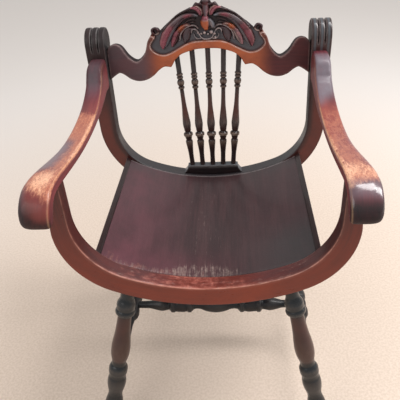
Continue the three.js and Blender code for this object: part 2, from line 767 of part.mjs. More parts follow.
function seatPanelSolid(grow) {
  const panel = loft(seatEnds.map(({ half, out, depthAt }) => {
    const edge = half - railWidth + fitGap;
    const depth = (z) => depthAt(z) + out * grow;
    return seatRing(-edge, edge, seatDrop - grow, seatThick + 2 * grow, true, depth);
  }));
  return cut(panel, bothSides(seatRailSolid(fitGap)));
}

function seatRailSolid(grow) {
  return loft(seatEnds.map(({ half, out, depthAt }) => {
    const depth = (z) => depthAt(z) + 2 * out * grow;
    const inner = half - railWidth - grow;
    return seatRing(inner, half + grow, -railProud - grow, railDepth + 2 * grow, false, depth);
  }));
}

// A curved batten under the panel, along the bow at one end of the seat
function battenSolid({ out, depthAt }) {
  const depths = [depthAt, (z) => depthAt(z) - out * battenThick];
  const rings = depths.map((depth) => (
    seatRing(-battenHalf, battenHalf, seatDrop + seatThick / 2, battenDepth, true, depth)));
  return cut(loft(rings), seatPanelSolid(fitGap));
}

// Legs

function legSolid(leg, grownBow, mouths) {
  const top = legPoint(leg, legTopHeight(leg));
  const foot = legPoint(leg, 0);
  const length = foot.distanceTo(top);
  const points = profile(legShares, length, legRadius);
  const toe = points[0][1];
  const neck = points[points.length - 1][1];
  points.unshift([-toe, toe]);
  points.push([length + legTenonRadius, neck]);
  const reach = 2 * legRadius;
  const floor = new THREE.BoxGeometry(reach * 2, reach * 2, reach).translate(foot.x, foot.y, -reach / 2);
  const body = cut(turned(foot, top, points, legSides), grownBow, toSolid(floor));
  const tenon = rod(...legTenonEnds(leg), legTenonRadius, dowelSides);
  return cut(join(body, tenon), ...mouths);
}

// Assembly

const grownFront = bothSides(bowHalf(frontBow, 0, frontTop, fitGap));
const grownRearHalf = rearBowHalf(fitGap);
const grownRear = bothSides(grownRearHalf);
const frontHalf = frontBowHalf();
const rearHalf = cut(
  rearBowHalf(0),
  hole(armPostFront, armPostBack, armDowelRadius, dowelSides),
  hole(...crestDowelEnds(1), crestDowelRadius, dowelSides),
  hole(...legTenonEnds(rearLeg), legTenonRadius, dowelSides),
  ...bowDowelShares.map((share) => hole(...rearDowelEnds(share), bowDowelRadius, dowelSides)),
);
addPiece("front_bow_right", frontHalf, "frame");
addPiece("front_bow_left", mirrored(frontHalf), "frame");
addPiece("rear_bow_right", rearHalf, "frame");
addPiece("rear_bow_left", mirrored(rearHalf), "frame");

bowDowelShares.forEach((share, order) => {
  const frontDowel = rod(...bowDowelEnds(bowMiddle, share), bowDowelRadius, dowelSides);
  const rearDowel = rod(...rearDowelEnds(share), bowDowelRadius, dowelSides);
  addPiece(`front_bow_dowel_${order + 1}`, frontDowel, "dowel");
  addPiece(`rear_bow_dowel_${order + 1}`, rearDowel, "dowel");
});

const arm = cut(
  armSolid(0),
  grownRearHalf,
  hole(armDowelFoot, armDowelTop, armDowelRadius, dowelSides),
  hole(armPostFront, armPostBack, armDowelRadius, dowelSides),
);
const armDowel = rod(armDowelFoot, armDowelTop, armDowelRadius, dowelSides);
const armPostDowel = rod(armPostFront, armPostBack, armDowelRadius, dowelSides);
addPiece("arm_right", arm, "arm");
addPiece("arm_left", mirrored(arm), "arm");
addPiece("arm_support_dowel_right", armDowel, "dowel");
addPiece("arm_support_dowel_left", mirrored(armDowel), "dowel");
addPiece("arm_post_dowel_right", armPostDowel, "dowel");
addPiece("arm_post_dowel_left", mirrored(armPostDowel), "dowel");

const crest = cut(
  crestSolid(),
  ...[1, -1].map((side) => hole(...crestDowelEnds(side), crestDowelRadius, dowelSides)),
  ...spindlePlaces().map((place) => spindleHole(place, true)),
);
addPiece("crest_rail", crest, "crest");
const crestDowel = rod(...crestDowelEnds(1), crestDowelRadius, dowelSides);
addPiece("crest_dowel_right", crestDowel, "dowel");
addPiece("crest_dowel_left", mirrored(crestDowel), "dowel");

spindlePlaces().forEach((place, order) => {
  addPiece(`spindle_${order + 1}`, spindleSolid(place), "turned");
});
const block = cut(blockSolid(), grownRear, ...spindlePlaces().map((place) => spindleHole(place, false)));
addPiece("spindle_block", block, "frame");

const seatRail = seatRailSolid(0);
addPiece("seat_panel", seatPanelSolid(0), "seat");
addPiece("seat_rail_right", seatRail, "frame");
addPiece("seat_rail_left", mirrored(seatRail), "frame");
addPiece("seat_batten_front", battenSolid(seatEnds[0]), "frame");
addPiece("seat_batten_rear", battenSolid(seatEnds[1]), "frame");

const frontMouth = stretcherHole(sideEnds, sideStretcherShares, sideStretcherRadius, 2 * legRadius);
const rearMouth = stretcherHole(
  [sideEnds[1], sideEnds[0]], sideStretcherShares, sideStretcherRadius, 2 * legRadius);
const crossMouth = stretcherHole(
  [crossEnds[1], crossEnds[0]], crossStretcherShares, crossStretcherRadius, 2 * sideStretcherRadius);
const frontLegRight = legSolid(frontLeg, grownFront, [frontMouth]);
const rearLegRight = legSolid(rearLeg, grownRear, [rearMouth]);
addPiece("front_leg_right", frontLegRight, "turned");
addPiece("front_leg_left", mirrored(frontLegRight), "turned");
addPiece("rear_leg_right", rearLegRight, "turned");
addPiece("rear_leg_left", mirrored(rearLegRight), "turned");

const sideBody = stretcherSolid(sideEnds, sideStretcherShares, sideStretcherRadius);
const sideStretcher = cut(sideBody, crossMouth);
addPiece("side_stretcher_right", sideStretcher, "turned");
addPiece("side_stretcher_left", mirrored(sideStretcher), "turned");
const crossStretcher = stretcherSolid(crossEnds, crossStretcherShares, crossStretcherRadius);
addPiece("cross_stretcher", crossStretcher, "turned");

// The origin goes to the floor, under the middle of the chair
const reach = new THREE.Box3().setFromObject(chair);
chair.position.set(0, -(reach.min.y + reach.max.y) / 2, -reach.min.z);
chair.updateMatrixWorld(true);

export default chair;
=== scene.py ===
"""Looks of an armchair on two U-shaped bows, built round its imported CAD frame.

Shapes are worked out in millimetres, with Y zero at the front bow's front face and Z zero on the floor, and
are moved into the frame's metres when a mesh is made. The chair faces -Y. Right is the viewer's, +X.
A block is one closed or open skin: its points, its faces and its values per point.
"""

import bpy
import numpy as np
from mathutils import Matrix, Vector
from mathutils.geometry import delaunay_2d_cdt


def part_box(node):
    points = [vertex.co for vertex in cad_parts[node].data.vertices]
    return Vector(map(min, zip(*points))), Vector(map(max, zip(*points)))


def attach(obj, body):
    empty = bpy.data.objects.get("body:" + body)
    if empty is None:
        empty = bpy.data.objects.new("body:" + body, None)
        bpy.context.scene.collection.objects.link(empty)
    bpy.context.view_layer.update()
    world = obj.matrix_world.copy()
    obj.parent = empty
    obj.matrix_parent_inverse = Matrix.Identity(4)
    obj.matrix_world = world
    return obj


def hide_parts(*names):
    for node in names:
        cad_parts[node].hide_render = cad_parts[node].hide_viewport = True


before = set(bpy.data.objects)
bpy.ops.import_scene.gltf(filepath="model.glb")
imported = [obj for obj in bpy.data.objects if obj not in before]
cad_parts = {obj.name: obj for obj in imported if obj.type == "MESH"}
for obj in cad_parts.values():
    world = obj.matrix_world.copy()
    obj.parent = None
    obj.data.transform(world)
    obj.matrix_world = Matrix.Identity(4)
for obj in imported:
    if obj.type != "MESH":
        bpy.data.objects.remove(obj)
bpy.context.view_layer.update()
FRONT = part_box("front_bow_left")[0].y
MM = 0.001

# Sizes of the frame, in millimetres and degrees
SEAT_HEIGHT, SEAT_DEPTH, BOW_THICK, BOW_BAND, ARC_RADIUS, ARC_TURN = 433.0, 447.0, 38.0, 50.0, 460.0, 22.0
FRONT_BOW = {"inner": 272.0, "outer": 311.0, "top": 303.0, "radius": 505.0, "turn": 24.0}
REAR_BOW = {"inner": 254.0, "outer": 298.0, "top": 303.0, "radius": 480.0, "turn": 22.0}
FRONT_BOW_TOP, POST_FOOT = 716.0, 742.0
REAR_LEAN, LEAN_HEIGHT, BACK_LEAN = 2.5, 460.0, 4.8
BACK_DEPTH = SEAT_DEPTH + BOW_THICK / 2
BLOCK_TOP = 461.0
GAP = 0.3


# Curves and blocks


def catmull(points, steps):
    """A centripetal curve through the points, with the same number of steps on each span."""
    p = np.asarray(points, float)
    p = np.vstack([2 * p[0] - p[1], p, 2 * p[-1] - p[-2]])
    gap = np.maximum(np.linalg.norm(np.diff(p, axis=0), axis=1), 1e-6) ** 0.5
    t = np.linspace(0, 1, steps, endpoint=False)[:, None]
    rows = []
    for i in range(1, len(p) - 2):
        d0, d1, d2 = gap[i - 1 : i + 2]
        a, b, c, d = p[i - 1 : i + 3]
        t1 = ((b - a) / d0 - (c - a) / (d0 + d1) + (c - b) / d1) * d1
        t2 = ((c - b) / d1 - (d - b) / (d1 + d2) + (d - c) / d2) * d1
        rows.append(b + t * t1 + t**2 * (3 * (c - b) - 2 * t1 - t2) + t**3 * (2 * (b - c) + t1 + t2))
    return np.vstack([*rows, p[-2:-1]])


def monotone(points, steps):
    """A curve through pairs of place and size that never swings past them, for turned profiles."""
    x, y = np.asarray(points, float).T
    gap = np.diff(x)
    slope = np.diff(y) / gap
    before, after = slope[:-1], slope[1:]
    same = before * after > 0
    near, far = gap[:-1] + 2 * gap[1:], 2 * gap[:-1] + gap[1:]
    middle = np.zeros(len(same))
    middle[same] = (near + far)[same] / (near[same] / before[same] + far[same] / after[same])
    lean = np.concatenate([slope[:1], middle, slope[-1:]])
    t = np.linspace(0, 1, steps, endpoint=False)
    a, b, rise = gap[:, None] * lean[:-1, None], gap[:, None] * lean[1:, None], np.diff(y)[:, None]
    sizes = y[:-1, None] + a * t + (3 * rise - 2 * a - b) * t**2 + (a + b - 2 * rise) * t**3
    places = x[:-1, None] + gap[:, None] * t
    return np.vstack([np.stack([places.ravel(), sizes.ravel()], -1), [[x[-1], y[-1]]]])


def run_length(points):
    return np.append(0, np.cumsum(np.linalg.norm(np.diff(points, axis=0), axis=1)))


def ease(low, high, value):
    t = np.clip((value - low) / (high - low), 0, 1)
    return t * t * (3 - 2 * t)


def hump(value, centre, width):
    return np.exp(-(((value - centre) / width) ** 2))


def leaned(points, degrees, depth, height):
    turn = Matrix.Rotation(-np.radians(degrees), 3, "X")
    pivot = np.array([0, depth, height])
    return (points - pivot) @ np.array(turn).T + pivot


def rear_leaned(block):
    """The block leaned back with the rear bow."""
    return (leaned(block[0], REAR_LEAN, SEAT_DEPTH, LEAN_HEIGHT), *block[1:])


def back_leaned(block):
    """The block leaned back with the crest and spindles."""
    return (leaned(block[0], BACK_LEAN, BACK_DEPTH, BLOCK_TOP), *block[1:])


def rear_face(height):
    return SEAT_DEPTH + (height - LEAN_HEIGHT) * np.tan(np.radians(REAR_LEAN))


def turned_over(block):
    return block[0], [face[::-1] for face in block[1]], block[2]


def mirrored(block):
    """The same block on the other side, its faces turned to stay outward."""
    return (block[0] * [-1, 1, 1], *turned_over(block)[1:])


def grid_block(grid, values, caps=True):
    """Skins rings of points (rings, points, 3), closed round each ring. Values spread over the grid."""
    rings, count = grid.shape[:2]
    i, j = np.meshgrid(np.arange(rings - 1), np.arange(count), indexing="ij")
    k = (j + 1) % count
    quads = np.stack([i * count + j, i * count + k, (i + 1) * count + k, (i + 1) * count + j], -1)
    faces = quads.reshape(-1, 4).tolist()
    if caps:
        faces += [list(range(count))[::-1], list(range((rings - 1) * count, rings * count))]
    flat = {}
    for key, value in values.items():
        size = (3,) if key == "grain" else ()
        flat[key] = np.broadcast_to(value, (rings, count, *size)).reshape(-1, *size)
    return grid.reshape(-1, 3), faces, flat


def round_ring(corner_steps, flats):
    """A rounded rectangle as rows of share and radii of its width, then of its thickness."""

    def at(corner, degrees):
        a, b = [(1, 0), (1, 1), (0, 1), (0, 0)][corner % 4]
        angle = np.radians(90 * corner - 90 + degrees)
        return np.array([a, 1 - 2 * a + np.cos(angle), b, 1 - 2 * b + np.sin(angle)])

    points = []
    for corner, steps in enumerate(flats):
        points += [at(corner, 90 * step / corner_steps) for step in range(corner_steps + 1)]
        leave, enter = points[-1], at(corner + 1, 0)
        points += [leave + (enter - leave) * step / steps for step in range(1, steps)]
    return np.array(points)


def make(name, blocks, material, nodes=(), sharp=35.0):
    """Builds one piece from blocks, in place of the CAD nodes named or of the one with its own name."""
    faces, start = [], 0
    for points, block_faces, _ in blocks:
        faces += [[start + i for i in face] for face in block_faces]
        start += len(points)
    mesh = bpy.data.meshes.new(name)
    mesh.from_pydata((np.vstack([block[0] for block in blocks]) * MM + [0, FRONT, 0]).tolist(), [], faces)
    for key in ("grain", "wear", "bare", "edge", "dark", "warm", "cool", "scuff", "gloss"):
        kind, holder, scale = ("FLOAT_VECTOR", "vector", MM) if key == "grain" else ("FLOAT", "value", 1)
        rows = [np.broadcast_to(values.get(key, 0.0), points.shape if key == "grain" else len(points))
                for points, _, values in blocks]
        data = np.concatenate(rows).astype(np.float32) * scale
        if key in ("edge", "dark", "warm"):
            data = np.clip(data, 0, 1)
        mesh.attributes.new(key, kind, "POINT").data.foreach_set(holder, data.ravel())
    mesh.shade_smooth()
    mesh.set_sharp_from_angle(angle=np.radians(sharp))
    mesh.validate()
    mesh.materials.append(material)
    piece = bpy.data.objects.new(name, mesh)
    bpy.context.scene.collection.objects.link(piece)
    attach(piece, "root")
    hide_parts(*(nodes or [name]))


def make_pair(name, block, material):
    """Makes a piece on the right, and its mirror image on the left."""
    make(name + "_right", [block], material)
    make(name + "_left", [mirrored(block)], material)


# Materials


def linear(red, green, blue):
    """A colour written in the usual 0 to 255 values."""
    c = np.array([red, green, blue]) / 255
    return (*np.where(c <= 0.04045, c / 12.92, ((c + 0.055) / 1.055) ** 2.4), 1.0)


class Nodes:
    """Makes one material, adds nodes to it and links them."""

    def __init__(self, name):
        self.material = bpy.data.materials.new(name)
        self.material.use_nodes = True
        self.tree = self.material.node_tree
        self.tree.nodes.clear()

    def add(self, kind, inputs, **settings):
        node = self.tree.nodes.new("ShaderNode" + kind)
        for key, value in settings.items():
            setattr(node, key, value)
        for key, value in inputs.items():
            if isinstance(value, bpy.types.NodeSocket):
                self.tree.links.new(value, node.inputs[key])
            else:
                node.inputs[key].default_value = value
        return node.outputs

    def value(self, name, output="Fac"):
        return self.add("Attribute", {}, attribute_name=name)[output]

    def noise(self, coords, scale, detail=4.0, distortion=0.0, roughness=0.55):
        inputs = {"Vector": self.add("Mapping", {"Vector": coords, "Scale": scale})[0], "Scale": 1.0}
        return self.add("TexNoise", inputs | {
            "Detail": detail, "Distortion": distortion, "Roughness": roughness})["Fac"]

    def math(self, operation, a, b, clamp=False):
        return self.add("Math", {0: a, 1: b}, operation=operation, use_clamp=clamp)[0]

    def plus(self, a, b):
        return self.math("ADD", a, b)

    def times(self, a, b, clamp=False):
        return self.math("MULTIPLY", a, b, clamp)

    def span(self, value, low, high, to_low=0.0, to_high=1.0):
        inputs = {"Value": value, "From Min": low, "From Max": high, "To Min": to_low, "To Max": to_high}
        return self.add("MapRange", inputs, interpolation_type="SMOOTHSTEP")[0]

    def mix(self, share, a, b):
        return self.add("Mix", {0: share, 6: a, 7: b}, data_type="RGBA")[2]

    def bump(self, height, strength, distance):
        return self.add("Bump", {"Height": height, "Strength": strength, "Distance": distance})[0]

    def finish(self, color, roughness, **inputs):
        named = {key.replace("_", " "): value for key, value in inputs.items()}
        shader = self.add("BsdfPrincipled", {"Base Color": color, "Roughness": roughness} | named)
        self.add("OutputMaterial", {"Surface": shader[0]})
        return self.material


def wood(name, *colors, rough=0.3, coat=0.25, patch=26.0, grain=1.0):
    """Old varnished wood: grain streaks, patchy wear down to bare wood and scuffs, with painted light: a grey
    that is partly bloom and partly painted reflection, a dark that is partly stain and partly painted shade
    in hollows and under parts, and pale lines that are partly worn arrises and partly painted highlights.
    """
    stain, deep, worn, bare, warm, cool, dark, pale, haze = (linear(*color) for color in colors)
    n = Nodes(name)
    coords = n.value("grain", "Vector")
    broad = n.noise(coords, (4, 26, 26), 3, 0.6)
    streak = n.noise(coords, (9, 210, 210), 6, 0.3, 0.65)
    pores = n.noise(coords, (70, 1500, 1500), 2)
    cloud = n.noise(coords, (13, 17, 17), 5, roughness=0.6)
    figure = n.plus(n.times(broad, 0.55), n.times(streak, 0.45))
    color = n.mix(n.span(figure, 0.38, 0.62, 0.0, 0.85 * grain), stain, deep)
    color = n.mix(n.times(n.value("warm"), n.span(cloud, 0.3, 0.62, 0.6, 1.0)), color, warm)
    # Wear spreads in patches, and leaves specks of stain in the bare wood
    patches = n.noise(coords, (patch, patch * 1.8, patch * 1.8), 6, 0.5, 0.62)
    mottle = n.noise(coords, (patch * 3, patch * 7, patch * 7), 5, roughness=0.68)
    rubbed = n.plus(n.times(patches, 0.6), n.times(mottle, 0.4))
    worn_share = n.span(n.plus(n.times(rubbed, 1.7), n.value("wear")), 1.1, 1.55)
    bright = n.plus(n.plus(mottle, n.times(streak, 0.4)), n.value("bare"))
    specks = n.noise(coords, (patch * 9, patch * 15, patch * 15), 3, roughness=0.6)
    light = n.mix(n.span(specks, 0.5, 0.64, 0.0, 0.6), n.mix(n.span(bright, 0.58, 1.12), worn, bare), stain)
    color = n.mix(worn_share, color, light)
    # Grey-lavender cool: partly bloom of old varnish, partly a painted reflection of the bright room on
    # glossy parts
    color = n.mix(n.times(n.value("cool"), n.span(rubbed, 0.35, 0.6, 1.0, 0.8), True), color, cool)
    # Dark: partly dark stain, partly painted shade in hollows, creases, recesses and on undersides
    color = n.mix(n.times(n.value("dark"), n.span(rubbed, 0.3, 0.6, 1.0, 0.8), True), color, dark)
    # Pale lines: partly worn arrises, partly painted highlights on crests, beads, flutes and lips, broken up
    # by noise
    line_breaks = n.noise(coords, (45, 120, 120), 5, roughness=0.7)
    color = n.mix(n.times(n.value("edge"), n.span(line_breaks, 0.36, 0.56, 0.35, 1.0), True), color, pale)
    color = n.mix(n.span(pores, 0.6, 0.75, 0.0, 0.3 * grain), color, deep)
    # Fine pale scuffs run with the grain, broken into short strokes
    strokes = n.times(n.noise(coords, (7, 520, 520), roughness=0.7), 0.6)
    breaks = n.times(n.noise(coords, (70, 130, 130), roughness=0.7), 0.4)
    scuffed = n.plus(n.plus(strokes, breaks), n.value("scuff"))
    scuff_share = n.times(n.span(scuffed, 0.72, 0.9), 0.7)
    color = n.mix(scuff_share, color, haze)
    height = n.math("SUBTRACT", n.times(streak, 0.5), n.times(pores, 0.5))
    height = n.plus(height, n.times(n.noise(coords, (60, 60, 60), 3), 0.9))
    # Gloss runs from -1, dull, over 0, as the coat says, to more than 1 where hands have polished it
    gloss = n.plus(n.value("gloss"), 1.0)
    sheen = n.plus(n.span(worn_share, 0, 1, rough, rough + 0.14), n.span(cloud, 0.25, 0.75, -0.05, 0.08))
    sheen = n.plus(n.plus(sheen, n.times(scuff_share, 0.2)), n.span(gloss, 0.0, 1.0, 0.4, 0.0))
    return n.finish(color, sheen, Normal=n.bump(height, 0.28, 0.0012), Specular_IOR_Level=0.3,
                    Coat_Weight=n.times(gloss, coat, True), Coat_Roughness=0.13)


# Colours are stain, deep, worn, bare, warm, cool, dark, pale and haze; cool is partly a painted reflection,
# dark partly painted shade and pale partly painted highlights
bow_wood = wood(
    "bow_wood", (106, 37, 26), (73, 27, 22), (164, 86, 74), (206, 140, 122), (132, 49, 26), (78, 58, 62),
    (26, 22, 24), (214, 150, 132), (196, 160, 150), patch=20)
rear_wood = wood(
    "rear_wood", (68, 31, 27), (44, 24, 23), (112, 62, 50), (146, 100, 84), (104, 42, 32), (98, 108, 116),
    (19, 20, 23), (150, 146, 146), (140, 136, 132))
arm_wood = wood(
    "arm_wood", (112, 50, 58), (80, 34, 44), (176, 106, 82), (238, 180, 146), (154, 74, 56), (112, 107, 116),
    (22, 19, 21), (244, 196, 150), (210, 180, 160), patch=34, rough=0.24, coat=0.32)
crest_wood = wood(
    "crest_wood", (86, 36, 38), (62, 28, 32), (134, 70, 82), (184, 128, 122), (180, 94, 56), (106, 108, 115),
    (22, 20, 23), (204, 178, 170), (170, 150, 146))
seat_wood = wood(
    "seat_wood", (74, 53, 55), (57, 44, 46), (132, 72, 64), (180, 130, 118), (116, 62, 74), (66, 70, 71),
    (26, 26, 28), (150, 140, 140), (158, 138, 130), patch=22, rough=0.34, coat=0.15)
turned_wood = wood(
    "turned_wood", (50, 36, 31), (32, 27, 26), (104, 70, 54), (150, 110, 88), (88, 46, 37), (62, 78, 86),
    (14, 21, 26), (150, 130, 116), (140, 130, 124), rough=0.24, coat=0.35)


# Bows


def bow_line(floor, half, radius, turn, turns):
    """Points of a bow's line as turns from 0 to 90 degrees go round its bottom arc and corner arc."""
    edge, angles = np.radians(turn), np.radians(turns)
    corner = (half - radius * np.sin(edge)) / (1 - np.sin(edge))
    low, high = np.minimum(angles, edge), np.maximum(angles, edge)
    x = radius * np.sin(low) + corner * (np.sin(high) - np.sin(edge))
    z = floor + radius * (1 - np.cos(low)) + corner * (np.cos(edge) - np.cos(high))
    return np.stack([x, z], -1)


def bow_rails(bow, top):
    """Matching points of the inner and outer lines from the middle of the seat up one side."""
    turns = np.linspace(0, 90, 73)
    rise = np.linspace(0, 1, 25)[1:, None]
    inner = bow_line(SEAT_HEIGHT, bow["inner"], ARC_RADIUS, ARC_TURN, turns)
    outer = bow_line(SEAT_HEIGHT - BOW_BAND, bow["outer"], bow["radius"], bow["turn"], turns)
    return [np.vstack([line, line[-1] + rise * ([half, top] - line[-1])])
            for line, half in ((inner, bow["inner"]), (outer, bow["top"]))]


def bow_block(bow, depth, top, radius, masks):
    """A whole bow from one top to the other, its section a board with rounded edges."""
    inner, outer = (np.vstack([rail[:0:-1] * [-1, 1], rail]) for rail in bow_rails(bow, top))
    along = run_length((inner + outer) / 2)
    along -= along[len(along) // 2]
    ring = round_ring(4, (10, 8, 10, 8))
    across = outer - inner
    width = np.linalg.norm(across, axis=1)[:, None]
    a = ring[:, 0] * width + ring[:, 1] * radius
    b = ring[:, 2] * BOW_THICK + ring[:, 3] * radius + 0 * a
    place = inner[:, None] + across[:, None] * (a / width)[..., None]
    grid = np.stack([place[..., 0], depth + b, place[..., 1]], -1)
    values = masks(grid[..., 0], grid[..., 2], a, b, width)
    return grid_block(grid, values | {"grain": np.stack([along[:, None] + 0 * a, a, b], -1)})


def arris(a, b, width, reach):
    """How near a place of a bow's section lies to one of its four long edges, from 0 to 1."""
    return hump(np.hypot(np.minimum(a, width - a), np.minimum(b, BOW_THICK - b)), 0, reach)


def front_masks(x, z, a, b, width):
    seat_side = ease(3.5, 0.5, a)
    low = ease(560, 470, z)
    front = hump(b, 0, 6)
    reach = np.abs(x)
    sat_on = seat_side * low * (0.6 * hump(x, -25, 125) + 0.28 * hump(x, -165, 60) + 0.12 * hump(x, 150, 60))
    # A painted highlight runs along the inner front arris, stronger low down
    painted_highlight_line = hump(a, 0.9, 1.3) * hump(b, 0.8, 1.8) * (0.3 + 0.7 * ease(640, 500, z))
    return {
        "wear": 0.75 * sat_on + 0.2 * hump(a, 1.0, 1.8) * hump(b, 0.8, 2.2)
        + 0.15 * front * hump(x, -170, 90),
        "bare": 0.1 * sat_on - 0.1,
        "edge": 0.6 * painted_highlight_line + 0.1 * arris(a, b, width, 2.0),
        "dark": 0.6 * seat_side * ease(190, 262, reach) * ease(470, 520, z) + 0.35 * ease(width - 3, width, a)
        + front * (0.2 * ease(560, 690, z) + 0.14 * ease(60, 190, x)),
        "warm": front * (0.5 + 0.45 * hump(x, 90, 110)) * ease(660, 480, z),
        "cool": 0.55 * seat_side * low * ease(40, 150, reach),
        "scuff": (0.18 * seat_side + 0.07 * front) * low,
        "gloss": -0.5 * ease(width - 6, width, a) - 0.5 * seat_side * ease(500, 560, z),
    }


def rear_masks(x, z, a, b, width):
    top_side = ease(3.0, 0.5, a)
    return {
        "edge": 0.3 * arris(a, b, width, 1.6) * ease(4, 1, a),
        "dark": 0.7 * top_side + 0.6 * ease(690, 760, z) + 0.25 * ease(width - 8, width - 2, a),
        "warm": 0.8 * hump(b, 0, 6) * ease(6, 18, a) * ease(710, 600, z),
        "cool": 0.35 * top_side * ease(560, 480, z),
        "gloss": -0.8 * top_side * ease(520, 600, z) - 0.5 * ease(width - 6, width, a),
    }


def post_blocks(sign, light):
    """The top of one rear post: three lobes roll back over it, grooves down its face; light makes it lighter,
    glossier and painted with a grey reflection.
    """
    centre, radius, flare, edge = 809.0, 37.9, 650.0, 2.5
    turns = np.linspace(180, -90, 64)
    roll = np.stack([np.cos(np.radians(turns)), np.sin(np.radians(turns))], -1)
    face = np.linspace(POST_FOOT, centre, 24, endpoint=False)
    back = np.linspace(centre - radius, POST_FOOT, 11)[1:]

    def joined(on_face, on_roll, on_back):
        parts = zip((on_face, on_roll, on_back), (face, turns, back))
        return np.concatenate([np.broadcast_to(value, len(part)) for value, part in parts])

    y = joined(SEAT_DEPTH, SEAT_DEPTH + radius * (1 + roll[:, 0]), SEAT_DEPTH + BOW_THICK)
    line = np.stack([y, joined(face, centre + radius * roll[:, 1], back)], -1)
    normals = np.stack([joined(-1, roll[:, 0], 1), joined(0, roll[:, 1], 0)], -1)
    fade = joined(ease(790, 803, face), 1, 0)
    fade[-len(back) - 3 : -len(back)] *= [0.8, 0.5, 0.2]
    # Slices from the outer side to the inner one, closer together at both
    slices = (np.arange(3)[:, None] + np.linspace(0, 1, 14)) / 3
    u = np.unique(np.append(slices, [0.012, 0.03, 0.97, 0.988]))[::-1, None]
    lobe = np.minimum(u * 3 % 1, 1 - u * 3 % 1)
    width = REAR_BOW["top"] - REAR_BOW["inner"]
    side = np.minimum(u, 1 - u) * width
    rounding = np.where(side < edge, edge - np.sqrt(np.maximum(edge**2 - (edge - side) ** 2, 0)), 0)
    between = (u > 0.1) & (u < 0.9)
    hollow = 4.5 * hump(lobe, 0, 0.1) * between + 1.26 * (1 - np.sqrt(np.maximum(1 - (2 * lobe - 1) ** 2, 0)))
    points = line - normals * (rounding + hollow * fade)[..., None]
    flared = np.clip((points[..., 1:] - flare) / (centre - flare), 0, 1)
    outer = REAR_BOW["outer"] + (REAR_BOW["top"] - REAR_BOW["outer"]) * flared
    grid = np.concatenate([REAR_BOW["inner"] + u[..., None] * (outer - REAR_BOW["inner"]), points], -1)
    # The grain runs on from the bow below
    start = run_length(sum(bow_rails(REAR_BOW, POST_FOOT)) / 2)[-1]
    grain = np.broadcast_arrays(sign * (start + run_length(line)), u * width, 0 * grid[..., 0])
    # Painted shade darkens the grooves, pale painted highlights line their edges, and painted grey reflection
    # lies on the lobes' crowns
    blocks = [grid_block(grid, {
        "grain": np.stack(grain, -1),
        "dark": 0.85 - 0.45 * light + 0.3 * hump(lobe, 0, 0.055) * between * fade,
        "edge": 0.8 * hump(lobe, 0.12, 0.045) * between * fade + 0.1 * ease(3, 0.5, side),
        "warm": joined(0.2, 0, 0.2),
        "gloss": 1.9 * light - 0.7,
        "cool": light * ease(0.2, 0.45, lobe) * joined(1, ease(-40, 60, turns), 0)
        * ease(POST_FOOT, 800, points[..., 1]),
    }, caps=False)]
    for ring, order, dark, gloss in ((grid[-1], 1, 1.0, -0.8), (grid[0], -1, 0.85, -0.5)):
        x, y, z = ring.T
        flat_grain = np.stack([sign * (start + z - POST_FOOT), x - REAR_BOW["inner"], y - SEAT_DEPTH], -1)
        values = {"grain": flat_grain, "dark": dark - 0.3 * light * ease(745, 800, z), "gloss": gloss}
        blocks.append((ring, [list(range(len(ring)))[::order]], values))
    return [rear_leaned(block) for block in blocks]


make("front_bow", [bow_block(FRONT_BOW, 0.0, FRONT_BOW_TOP, 2.6, front_masks)], bow_wood,
     ["front_bow_left", "front_bow_right"])
posts = post_blocks(1, 0.85) + [mirrored(block) for block in post_blocks(-1, 0.1)]
rear_bow = rear_leaned(bow_block(REAR_BOW, SEAT_DEPTH, POST_FOOT, 2.5, rear_masks))
make("rear_bow", [rear_bow, *posts], rear_wood, ["rear_bow_left", "rear_bow_right"])


# Arms

ARM_LOW, ARM_RISE, ARM_FRONT, ARM_THICK = 700.0, 40.0, -98.8, 21.0
ARM_INNER, ARM_BACK, ARM_WIDE = 255.0, 297.0, 314.0
# Shares of the run, rise, thickness and widening, and how far the hand's end draws in
ARM_STATIONS = [
    (0, 1, 1.9, 0, 0), (0.035, 1, 1.95, 0, 0), (0.065, 0.975, 1.95, 0, 0), (0.094, 0.775, 1.62, 0, 0),
    (0.122, 0.5625, 1.26, 0, 0), (0.165, 0.3625, 1.02, 0, 0), (0.23, 0.1625, 0.786, 0, 0),
    (0.319, 0.0375, 0.595, 0, 0), (0.425, 0.0125, 0.5, 0, 0), (0.531, 0.1, 0.476, 0, 0),
    (0.628, 0.2625, 0.476, 0.1, 0), (0.717, 0.475, 0.5, 0.35, 0), (0.805, 0.7125, 0.548, 0.65, 0),
    (0.885, 0.9, 0.595, 0.9, 0), (0.938, 0.9, 0.667, 1, 0), (0.972, 0.7, 0.762, 1, 0),
    (0.993, 0.4, 0.833, 1, 0), (1, 0.1, 0.857, 1, 0.01), (0.998, -0.175, 0.667, 1, 0.04),
    (0.996, -0.325, 0.38, 1, 0.12)]


